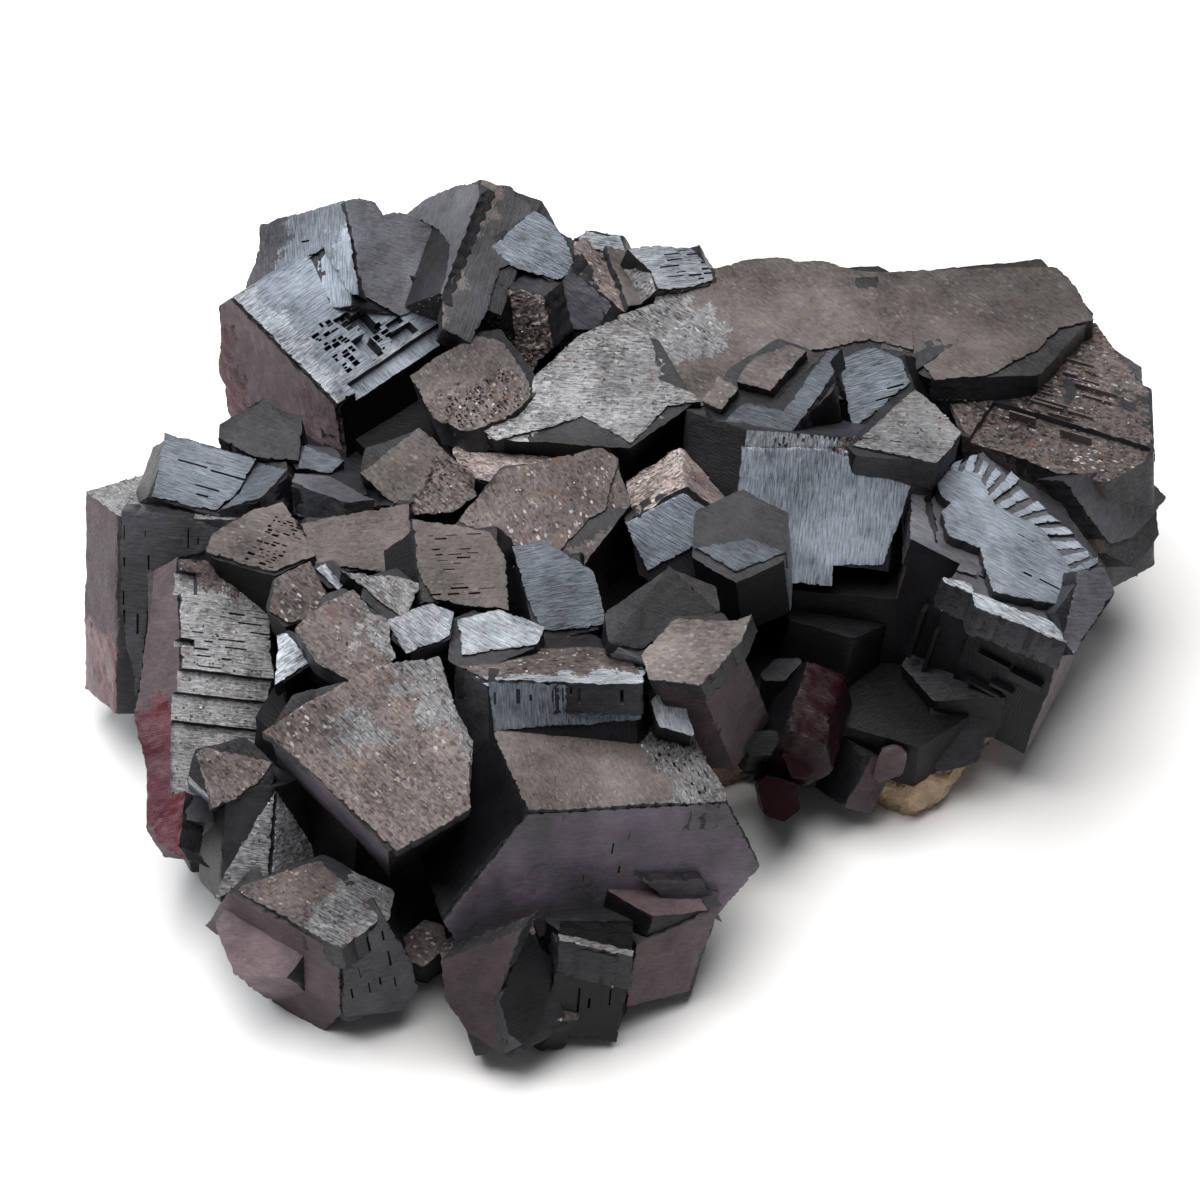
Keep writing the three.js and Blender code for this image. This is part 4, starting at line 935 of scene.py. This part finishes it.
def face_plate(prism, key, outline, seed, rise=PLATE_RISE, look=None):
    """A plate that stands on a face, to its own outline."""
    turned, sense = on_face(prism, key)
    points = ragged(np.array(outline, float), np.random.default_rng(seed)) * (1, sense)
    x, y = points.T
    if (x * np.roll(y, -1) - y * np.roll(x, -1)).sum() < 0:
        points = points[::-1]
    looks = {f"p{k}": "slate-1" for k in range(len(points))}
    looks["t"] = look or prism.looks.get(key, "skin" if key in "tb" else "jet")
    plate = Prism("plate", points, rise, PLATE_ROOT, turned, prism.world(prism.frames[key][0]), looks)
    plate.frames["t"] = (np.array([0, 0, rise]), np.array([1.0, 0, 0]),
                         np.array([0, float(sense), 0]), np.array([0, 0, 1.0]))
    plate.patches = {"t": [] if look else prism.patches[key]}
    plate.upright = {"t"} if key in prism.upright else set()
    plate.cell = CELL
    return plate


def extra_plates(prism, key):
    """The plates that stand higher on a face, each with its outline on it."""
    seen = SEEN_PLATES.get((prism.name, key), [])
    seen = [(rise, look, seen_on_face(prism, key, corners)) for rise, look, corners in seen]
    return PLATES.get((prism.name, key), []) + seen


def part_way(line, share):
    """The point at a share of a line's points, from its first to its last."""
    place = share * (len(line) - 1)
    start = min(int(place), len(line) - 2)
    return line[start] + (place - start) * (line[start + 1] - line[start])


def flight(prism, key, inner, outer, count, rise, look, seed):
    """Plates side by side between two lines, each of its own length and height."""
    rng = np.random.default_rng(seed)
    blocks = []
    for number in range(count):
        start, end = (number + 0.1) / count, (number + 0.86) / count
        reach = 0.75 + 0.35 * rng.random()
        sides = [(part_way(inner, share), part_way(outer, share)) for share in (start, end)]
        (a, d), (b, c) = [(low - 0.15 * (high - low), low + reach * (high - low)) for low, high in sides]
        height = rise * (0.5 + 0.5 * rng.random())
        blocks.append(face_plate(prism, key, [a, b, c, d], seed + number, height, look))
    return blocks


def row_blocks(prism, key, along, away, size, gaps, height, seed, shift):
    """Rows of small blocks in a face, staggered, some left out, as one mesh."""
    rng = np.random.default_rng(seed)
    origin, first, second, outward = prism.frames[key]
    low, high = (-1, height + PLATE_RISE) if height > 0 else (height, 1.5)
    vertices, triangles = [], []
    faces = np.array([(0, 2, 1), (0, 3, 2), (4, 5, 6), (4, 6, 7), (0, 1, 5), (0, 5, 4),
                      (1, 2, 6), (1, 6, 5), (2, 3, 7), (2, 7, 6), (3, 0, 4), (3, 4, 7)])
    if np.cross(first, second) @ outward < 0:
        faces = faces[:, ::-1]
    for v in np.arange(away[0], max(away[1] - size[1], away[0] + 0.1), size[1] + gaps[1]):
        u = along[0] + rng.random() * size[0]
        while u < along[1] - size[0]:
            width, depth = size[0] * (0.4 + 1.1 * rng.random()), size[1] * (0.3 + 0.7 * rng.random())
            near = v + (size[1] + 0.7 * gaps[1] - depth) * rng.random()
            far = near + depth
            if rng.random() < 0.55:
                corners = [(u, near), (u + width, near), (u + width, far), (u, far)]
                reach = low * (0.6 + 0.4 * rng.random()) if height < 0 else low
                top = high * (0.6 + 0.4 * rng.random()) if height > 0 else high
                block = [origin + x * first + y * second + z * outward
                         for z in (reach, top) for x, y in corners]
                triangles.append(faces + 8 * len(vertices))
                vertices.append(block)
            u += width + gaps[0] * (0.5 + rng.random())
    if not vertices:
        return None
    vertices, triangles = np.vstack(vertices), np.vstack(triangles)
    look = prism.looks.get(key, "skin")
    # Painted shade in the pits: black when deep, some steps darker when shallow
    if height < DEEP_PIT:
        look = "jet"
    elif height < 0:
        look = darkened(look, PIT_PAINTED_SHADE)
    looks = np.full(len(triangles), look, dtype=object)
    return mesh_object("rows", prism.world(vertices) + shift, triangles, looks, np.zeros((triangles.size, 2)))


def crystal_object(prism, others, seed, shift):
    """A crystal with the plates, steps and rows of its faces."""
    outlines = {key: seen_on_face(prism, key, corners)
                for (name, key), corners in OUTLINES.items() if name == prism.name}
    plates = [face_plate(prism, key, outline, seed + OUTLINE_SEED) for key, outline in outlines.items()]
    for key in prism.frames:
        for rise, look, outline in extra_plates(prism, key):
            plate_seed = seed + PLATE_SEED + len(plates)
            plates.append(face_plate(prism, key, outline, plate_seed, rise + PLATE_RISE, look))
        for inner, outer, count, rise, look in FLIGHTS.get((prism.name, key), []):
            lines = [seen_on_face(prism, key, line) for line in (inner, outer)]
            plates += flight(prism, key, *lines, count, rise, look, seed + FLIGHT_SEED)
    plates = [built(plate, others, seed + MESH_SEED + n, shift) for n, plate in enumerate(plates)]
    bare = dict(prism.looks)
    # Painted shade: the rest of a face with an outlined plate is dark slate, a shaded crevice round the plate
    for key in outlines:
        prism.looks[key] = "slate-2"
    base = built(prism, others, seed, shift)
    prism.looks = bare
    cuts = []
    for number, (key, along, away, height) in enumerate(STEPS.get(prism.name, [])):
        look = prism.looks.get(key, "skin")
        looks = {side: look for side in ("t", "b")}
        looks.update({f"p{k}": "slate" for k in range(4)})
        block = step_block(prism, key, along, away, height, looks)
        (plates if height > 0 else cuts).append(built(block, [], seed + STEP_SEED + number, shift))
    rows = [(row_blocks(prism, *row, seed + ROW_SEED + n, shift), row[5])
            for n, row in enumerate(ROWS.get(prism.name, []))]
    for operand, operation in ((plates, "UNION"), (cuts, "DIFFERENCE")):
        if operand:
            combined(base, operand, operation)
    for blocks, height in rows:
        if blocks:
            combined(base, [blocks], "UNION" if height > 0 else "DIFFERENCE")
    return base


def room():
    """A block that fills the solids' box, standing on the floor, to keep the pieces inside."""
    low, high = (np.array(corner) / MM for corner in solid_box)
    low, high = low + (INSET, INSET, 0), high - INSET
    middle, half = (low + high) / 2, (high - low) / 2
    corners = np.array([(1, -1), (1, 1), (-1, 1), (-1, -1)]) * half[:2]
    looks = {key: "slate" for key in ("t", "b", "p0", "p1", "p2", "p3")}
    block = Prism("ground_room", corners, half[2], half[2], np.eye(3), middle, looks, 0)
    block.cell = NO_GRID
    return built(block, [], 1, 0)


class Nodes:
    """Builds a material's nodes and links, one call each."""

    def __init__(self, name):
        self.material = bpy.data.materials.new(name)
        self.material.use_nodes = True
        self.tree = self.material.node_tree
        self.shader = self.tree.nodes["Principled BSDF"]

    def add(self, kind, **settings):
        node = self.tree.nodes.new(kind)
        for key, value in settings.items():
            setattr(node, key, value)
        return node

    def put(self, socket, value):
        if isinstance(value, bpy.types.NodeSocket):
            self.tree.links.new(value, socket)
        else:
            socket.default_value = value

    def math(self, operation, a, b=0.5, clamp=False):
        node = self.add("ShaderNodeMath", operation=operation, use_clamp=clamp)
        self.put(node.inputs[0], a)
        self.put(node.inputs[1], b)
        return node.outputs[0]

    def mix(self, factor, a, b):
        node = self.add("ShaderNodeMix", data_type="RGBA")
        self.put(node.inputs["Factor"], factor)
        self.put(node.inputs[6], a)
        self.put(node.inputs[7], b)
        return node.outputs[2]

    def scaled(self, vector, factor):
        node = self.add("ShaderNodeVectorMath", operation="SCALE")
        self.put(node.inputs[0], vector)
        self.put(node.inputs["Scale"], factor)
        return node.outputs[0]

    def noise(self, vector, scale, detail=3.0, roughness=0.55):
        node = self.add("ShaderNodeTexNoise")
        self.put(node.inputs["Vector"], vector)
        node.inputs["Scale"].default_value = scale
        node.inputs["Detail"].default_value = detail
        node.inputs["Roughness"].default_value = roughness
        return node.outputs["Fac"]

    def cells(self, vector, scale):
        """A random colour for each small cell of space."""
        node = self.add("ShaderNodeTexVoronoi")
        self.put(node.inputs["Vector"], vector)
        node.inputs["Scale"].default_value = scale
        return node.outputs["Color"]

    def stretched(self, vector, scale):
        node = self.add("ShaderNodeMapping")
        self.put(node.inputs["Vector"], vector)
        node.inputs["Scale"].default_value = scale
        return node.outputs[0]

    def ramp(self, value, low, high, to_low=0.0, to_high=1.0):
        node = self.add("ShaderNodeMapRange")
        self.put(node.inputs["Value"], value)
        for name, amount in (("From Min", low), ("From Max", high), ("To Min", to_low), ("To Max", to_high)):
            node.inputs[name].default_value = amount
        return node.outputs[0]

    def bump(self, height, distance, normal=None):
        node = self.add("ShaderNodeBump")
        node.inputs["Strength"].default_value = BUMP_STRENGTH
        node.inputs["Distance"].default_value = distance
        self.put(node.inputs["Height"], height)
        if normal:
            self.put(node.inputs["Normal"], normal)
        self.put(self.shader.inputs["Normal"], node.outputs[0])


def crystal_material():
    """Dark lead-grey crystal: its finish and painted light and shade come from attributes; its skins are
    small tilted facets with painted glints.
    """
    n = Nodes("vanadinite")
    tone = n.add("ShaderNodeAttribute", attribute_name="tone")
    coat = n.add("ShaderNodeAttribute", attribute_name="coat")
    parts = n.add("ShaderNodeSeparateColor")
    n.put(parts.inputs[0], coat.outputs["Color"])
    metallic, skin, streaks = parts.outputs
    place = n.add("ShaderNodeTexCoord").outputs["Object"]
    face = n.add("ShaderNodeUVMap", uv_map="faces").outputs[0]
    lines = n.noise(n.stretched(face, (3, 30, 1)), 1.8, 5, 0.65)
    blotch = n.noise(place, 300, 4, 0.6)
    grain = n.noise(place, 2200, 3)
    facets = n.cells(n.stretched(face, (0.7, 1.3, 1)), 32)
    facet_parts = n.add("ShaderNodeSeparateColor")
    n.put(facet_parts.inputs[0], facets)
    fleck = facet_parts.outputs[0]
    # Random tone in blotches, times broad painted sheen: lighter and darker stretches across a face
    light = n.ramp(blotch, 0.3, 0.7, 0.7, 1.25)
    light = n.math("MULTIPLY", light, n.ramp(n.noise(place, 95, 1), 0.35, 0.65, 0.75, 1.25))
    drawn = n.math("MULTIPLY", n.ramp(lines, 0.32, 0.68, -0.65, 0.65), streaks)
    speckled = n.math("MULTIPLY", n.ramp(fleck, 0, 1, -0.6, 0.6), skin)
    light = n.math("ADD", n.math("ADD", light, drawn), speckled)
    shade = n.scaled(tone.outputs["Color"], n.math("MAXIMUM", light, 0.12))
    rust = n.math("MULTIPLY", n.ramp(n.noise(place, 520, 4, 0.7), 0.56, 0.68), n.math("MULTIPLY", skin, 0.55))
    shade = n.mix(rust, shade, (0.13, 0.05, 0.025, 1))
    # Painted glints: pale flecks on some facets of the skins, with lower roughness
    painted_glint = n.math("MULTIPLY", n.ramp(fleck, 0.93, 0.95), n.ramp(skin, 0.25, 0.9, 0, 0.7))
    painted_glint = n.math("MULTIPLY", painted_glint, n.ramp(n.noise(place, 170, 2), 0.45, 0.62))
    n.put(n.shader.inputs["Base Color"], n.mix(painted_glint, shade, (0.62, 0.6, 0.58, 1)))
    n.put(n.shader.inputs["Metallic"], metallic)
    rough = n.math("ADD", tone.outputs["Alpha"], n.ramp(grain, 0, 1, -0.15, 0.15))
    rough = n.math("SUBTRACT", rough, n.math("MULTIPLY", painted_glint, 0.3), True)
    n.put(n.shader.inputs["Roughness"], rough)
    centred = n.add("ShaderNodeVectorMath", operation="SUBTRACT")
    n.put(centred.inputs[0], facets)
    centred.inputs[1].default_value = (0.5, 0.5, 0.5)
    tilted = n.scaled(centred.outputs[0], n.math("MULTIPLY", skin, 0.9))
    leaning = n.add("ShaderNodeVectorMath", operation="ADD")
    n.put(leaning.inputs[0], n.add("ShaderNodeNewGeometry").outputs["Normal"])
    n.put(leaning.inputs[1], tilted)
    unit = n.add("ShaderNodeVectorMath", operation="NORMALIZE")
    n.put(unit.inputs[0], leaning.outputs[0])
    coarse = n.math("MULTIPLY", grain, n.math("ADD", n.math("MULTIPLY", skin, 0.8), 0.12))
    drawn = n.math("MULTIPLY", lines, n.math("MULTIPLY", streaks, 1.4))
    n.bump(n.math("ADD", drawn, coarse), 0.00018, unit.outputs[0])
    n.shader.inputs["IOR"].default_value = 1.5
    n.shader.inputs["Specular IOR Level"].default_value = 0.2
    return n.material


def grain_material():
    n = Nodes("small_grains")
    place = n.add("ShaderNodeTexCoord").outputs["Object"]
    facets = n.cells(place, 1500)
    colour = n.mix(facets, (0.05, 0.038, 0.035, 1), (0.3, 0.28, 0.27, 1))
    n.put(n.shader.inputs["Base Color"], colour)
    n.put(n.shader.inputs["Roughness"], n.ramp(n.noise(place, 1800), 0.3, 0.7, 0.2, 0.5))
    n.shader.inputs["Metallic"].default_value = 0.25
    n.bump(n.noise(place, 4000), 0.00003)
    return n.material


def matrix_material():
    n = Nodes("ochre_matrix")
    place = n.add("ShaderNodeTexCoord").outputs["Object"]
    patches = n.ramp(n.noise(place, 420, 5), 0.35, 0.65)
    fine = n.noise(place, 2600, 4)
    colour = n.mix(patches, (0.42, 0.27, 0.13, 1), (0.16, 0.09, 0.05, 1))
    n.put(n.shader.inputs["Base Color"], n.mix(n.math("MULTIPLY", fine, 0.6), colour, (0.6, 0.5, 0.36, 1)))
    n.put(n.shader.inputs["Roughness"], n.ramp(fine, -0.6, 1.1))
    n.bump(fine, 0.0004)
    return n.material


def floor_material():
    n = Nodes("pale_floor")
    n.shader.inputs["Base Color"].default_value = (0.88, 0.88, 0.88, 1)
    n.shader.inputs["Roughness"].default_value = 0.7
    return n.material


def grain_tree():
    """A node tree that strews small six-sided plates over the skins of a piece."""
    tree = bpy.data.node_groups.new("strewn_grains", "GeometryNodeTree")
    sockets = {}
    for name, kind in (("Geometry", "Geometry"), ("Grains per area", "Float"), ("Grain width", "Float"),
                       ("Grain height", "Float"), ("Seed", "Int"), ("Material", "Material")):
        socket = tree.interface.new_socket(name, in_out="INPUT", socket_type=f"NodeSocket{kind}")
        sockets[name] = socket.identifier
    tree.interface.new_socket("Geometry", in_out="OUTPUT", socket_type="NodeSocketGeometry")
    add = lambda kind: tree.nodes.new(kind)
    link = tree.links.new
    given, result = add("NodeGroupInput"), add("NodeGroupOutput")
    coat = add("GeometryNodeInputNamedAttribute")
    coat.data_type = "FLOAT_COLOR"
    coat.inputs["Name"].default_value = "coat"
    parts = add("FunctionNodeSeparateColor")
    link(coat.outputs["Attribute"], parts.inputs[0])
    skins = add("ShaderNodeMath")
    skins.operation = "GREATER_THAN"
    skins.inputs[1].default_value = 0.65
    link(parts.outputs[1], skins.inputs[0])
    strewn = add("GeometryNodeDistributePointsOnFaces")
    link(given.outputs["Geometry"], strewn.inputs["Mesh"])
    link(skins.outputs[0], strewn.inputs["Selection"])
    link(given.outputs["Grains per area"], strewn.inputs["Density"])
    link(given.outputs["Seed"], strewn.inputs["Seed"])
    plate = add("GeometryNodeMeshCylinder")
    plate.inputs["Vertices"].default_value = 6
    link(given.outputs["Grain width"], plate.inputs["Radius"])
    link(given.outputs["Grain height"], plate.inputs["Depth"])
    lean, size = add("FunctionNodeRandomValue"), add("FunctionNodeRandomValue")
    lean.data_type = "FLOAT_VECTOR"
    lean.inputs[0].default_value, lean.inputs[1].default_value = (-0.7, -0.7, -3.1), (0.7, 0.7, 3.1)
    size.inputs[2].default_value, size.inputs[3].default_value = 0.4, 1.3
    for dice in (lean, size):
        link(given.outputs["Seed"], dice.inputs["Seed"])
    turned = add("FunctionNodeRotateRotation")
    turned.rotation_space = "LOCAL"
    link(strewn.outputs["Rotation"], turned.inputs["Rotation"])
    link(lean.outputs[0], turned.inputs["Rotate By"])
    placed = add("GeometryNodeInstanceOnPoints")
    link(strewn.outputs["Points"], placed.inputs["Points"])
    link(plate.outputs["Mesh"], placed.inputs["Instance"])
    link(turned.outputs[0], placed.inputs["Rotation"])
    link(size.outputs[1], placed.inputs["Scale"])
    real, dressed = add("GeometryNodeRealizeInstances"), add("GeometryNodeSetMaterial")
    link(placed.outputs["Instances"], real.inputs["Geometry"])
    link(real.outputs["Geometry"], dressed.inputs["Geometry"])
    link(given.outputs["Material"], dressed.inputs["Material"])
    link(dressed.outputs["Geometry"], result.inputs[0])
    return tree, sockets


def strewn_grains(piece, tree, sockets, material, seed):
    """The grains on a piece, as a piece of their own."""
    grains = bpy.data.objects.new(piece.name.replace("crystals", "grains"), piece.data)
    bpy.context.scene.collection.objects.link(grains)
    modifier = grains.modifiers.new("grains", "NODES")
    modifier.node_group = tree
    for name, value in (("Grains per area", GRAINS_PER_MM2 / MM ** 2), ("Grain width", GRAIN_WIDTH * MM),
                        ("Grain height", GRAIN_HEIGHT * MM), ("Seed", seed), ("Material", material)):
        modifier[sockets[name]] = value
    mesh = bpy.data.meshes.new_from_object(grains.evaluated_get(bpy.context.evaluated_depsgraph_get()))
    grains.modifiers.clear()
    grains.data = mesh
    return grains


def area_light(name, at, size, energy, colour):
    light = bpy.data.lights.new(name, "AREA")
    light.shape = "RECTANGLE"
    light.size, light.size_y = size
    light.energy, light.color = energy, colour
    lamp = bpy.data.objects.new(name, light)
    lamp.location = at
    lamp.rotation_euler = (Vector(at) - Vector((0, 0, 0.015))).to_track_quat("Z", "Y").to_euler()
    bpy.context.scene.collection.objects.link(lamp)


def studio():
    scene = bpy.context.scene
    world = bpy.data.worlds.new("studio")
    world.use_nodes = True
    background = world.node_tree.nodes["Background"]
    background.inputs[0].default_value = (0.85, 0.9, 1, 1)
    background.inputs[1].default_value = 0.13
    scene.world = world
    area_light("overhead", (-0.1, 0.05, 0.9), (1.0, 0.8), 15.5, (1, 0.98, 0.96))
    area_light("window", (-0.8, 0.3, 0.45), (0.5, 0.5), 4.5, (0.9, 0.95, 1))
    bpy.ops.mesh.primitive_plane_add(size=6, location=(0, 0, 0))
    floor = bpy.context.object
    floor.name = "floor"
    floor.data.materials.append(floor_material())
    scene.view_settings.view_transform = "Standard"


def camera(shift):
    """The photograph's view of the specimen."""
    lens = bpy.data.cameras.new("camera")
    lens.lens = LENS
    lens.sensor_width = SENSOR
    lens.clip_start = 0.01
    seer = bpy.data.objects.new("camera", lens)
    seer.location = (CAMERA_TARGET + CAMERA_DISTANCE * CAMERA_BACK + shift) * MM
    seer.rotation_euler = (np.pi / 2 - CAMERA_ELEVATION, 0, 0)
    bpy.context.scene.collection.objects.link(seer)
    bpy.context.scene.camera = seer


def matrix_lump():
    """The matrix, roughened from a copy of its solid."""
    source = frame["nodes"]["matrix"]
    lump = bpy.data.objects.new("matrix_rock", source.data.copy())
    bpy.context.scene.collection.objects.link(lump)
    remesh = lump.modifiers.new("remesh", "REMESH")
    remesh.mode = "VOXEL"
    remesh.voxel_size = 0.8 * MM
    mesh = bpy.data.meshes.new_from_object(lump.evaluated_get(bpy.context.evaluated_depsgraph_get()))
    lump.modifiers.clear()
    lump.data = mesh
    spots = np.empty(len(mesh.vertices) * 3, np.float32)
    mesh.vertices.foreach_get("co", spots)
    spots = spots.reshape(-1, 3) / MM
    normals = np.empty(len(mesh.vertices) * 3, np.float32)
    mesh.vertices.foreach_get("normal", normals)
    pressed = 1.4 * noise(spots[:, 0] / 3, (spots[:, 1] + 0.7 * spots[:, 2]) / 3, 7)
    pressed += 0.5 * noise(spots[:, 0] - spots[:, 2], spots[:, 1] + spots[:, 2], 8)
    pressed *= np.clip(spots[:, 2], 0, 1)
    spots -= normals.reshape(-1, 3) * pressed[:, None]
    mesh.vertices.foreach_set("co", (spots * MM).astype(np.float32).ravel())
    mesh.materials.clear()
    mesh.materials.append(matrix_material())
    mesh.update()
    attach(lump, "root")
    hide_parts("matrix")


def belongs(piece):
    """Attaches a piece to the root body and hides the crystals' solid, which it stands for."""
    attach(piece, "root")
    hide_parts("vanadinite_crystals")


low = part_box("matrix")[0]
shift = np.array([low[0] / MM - MATRIX_WEST, low[1] / MM - MATRIX_SOUTH, 0])
camera(shift)
studio()
vanadinite, grain = crystal_material(), grain_material()
tree, sockets = grain_tree()
crystals = read_crystals()
seed = 0
for group, members in CRYSTALS.items():
    made = []
    for name in members:
        seed += 1
        others = [other for other in crystals.values() if other.name != name]
        made.append(crystal_object(crystals[name], others, seed, shift))
    piece = combined(made[0], made[1:], "UNION")
    combined(piece, [room()], "INTERSECT")
    piece.name = f"crystals_{group}"
    piece.data.materials.clear()
    piece.data.materials.append(vanadinite)
    piece.data.set_sharp_from_angle(angle=SHARP_EDGE)
    belongs(piece)
    if group not in ("ground", "hollow"):
        grains = strewn_grains(piece, tree, sockets, grain, seed)
        combined(grains, [room()], "INTERSECT")
        belongs(grains)
matrix_lump()
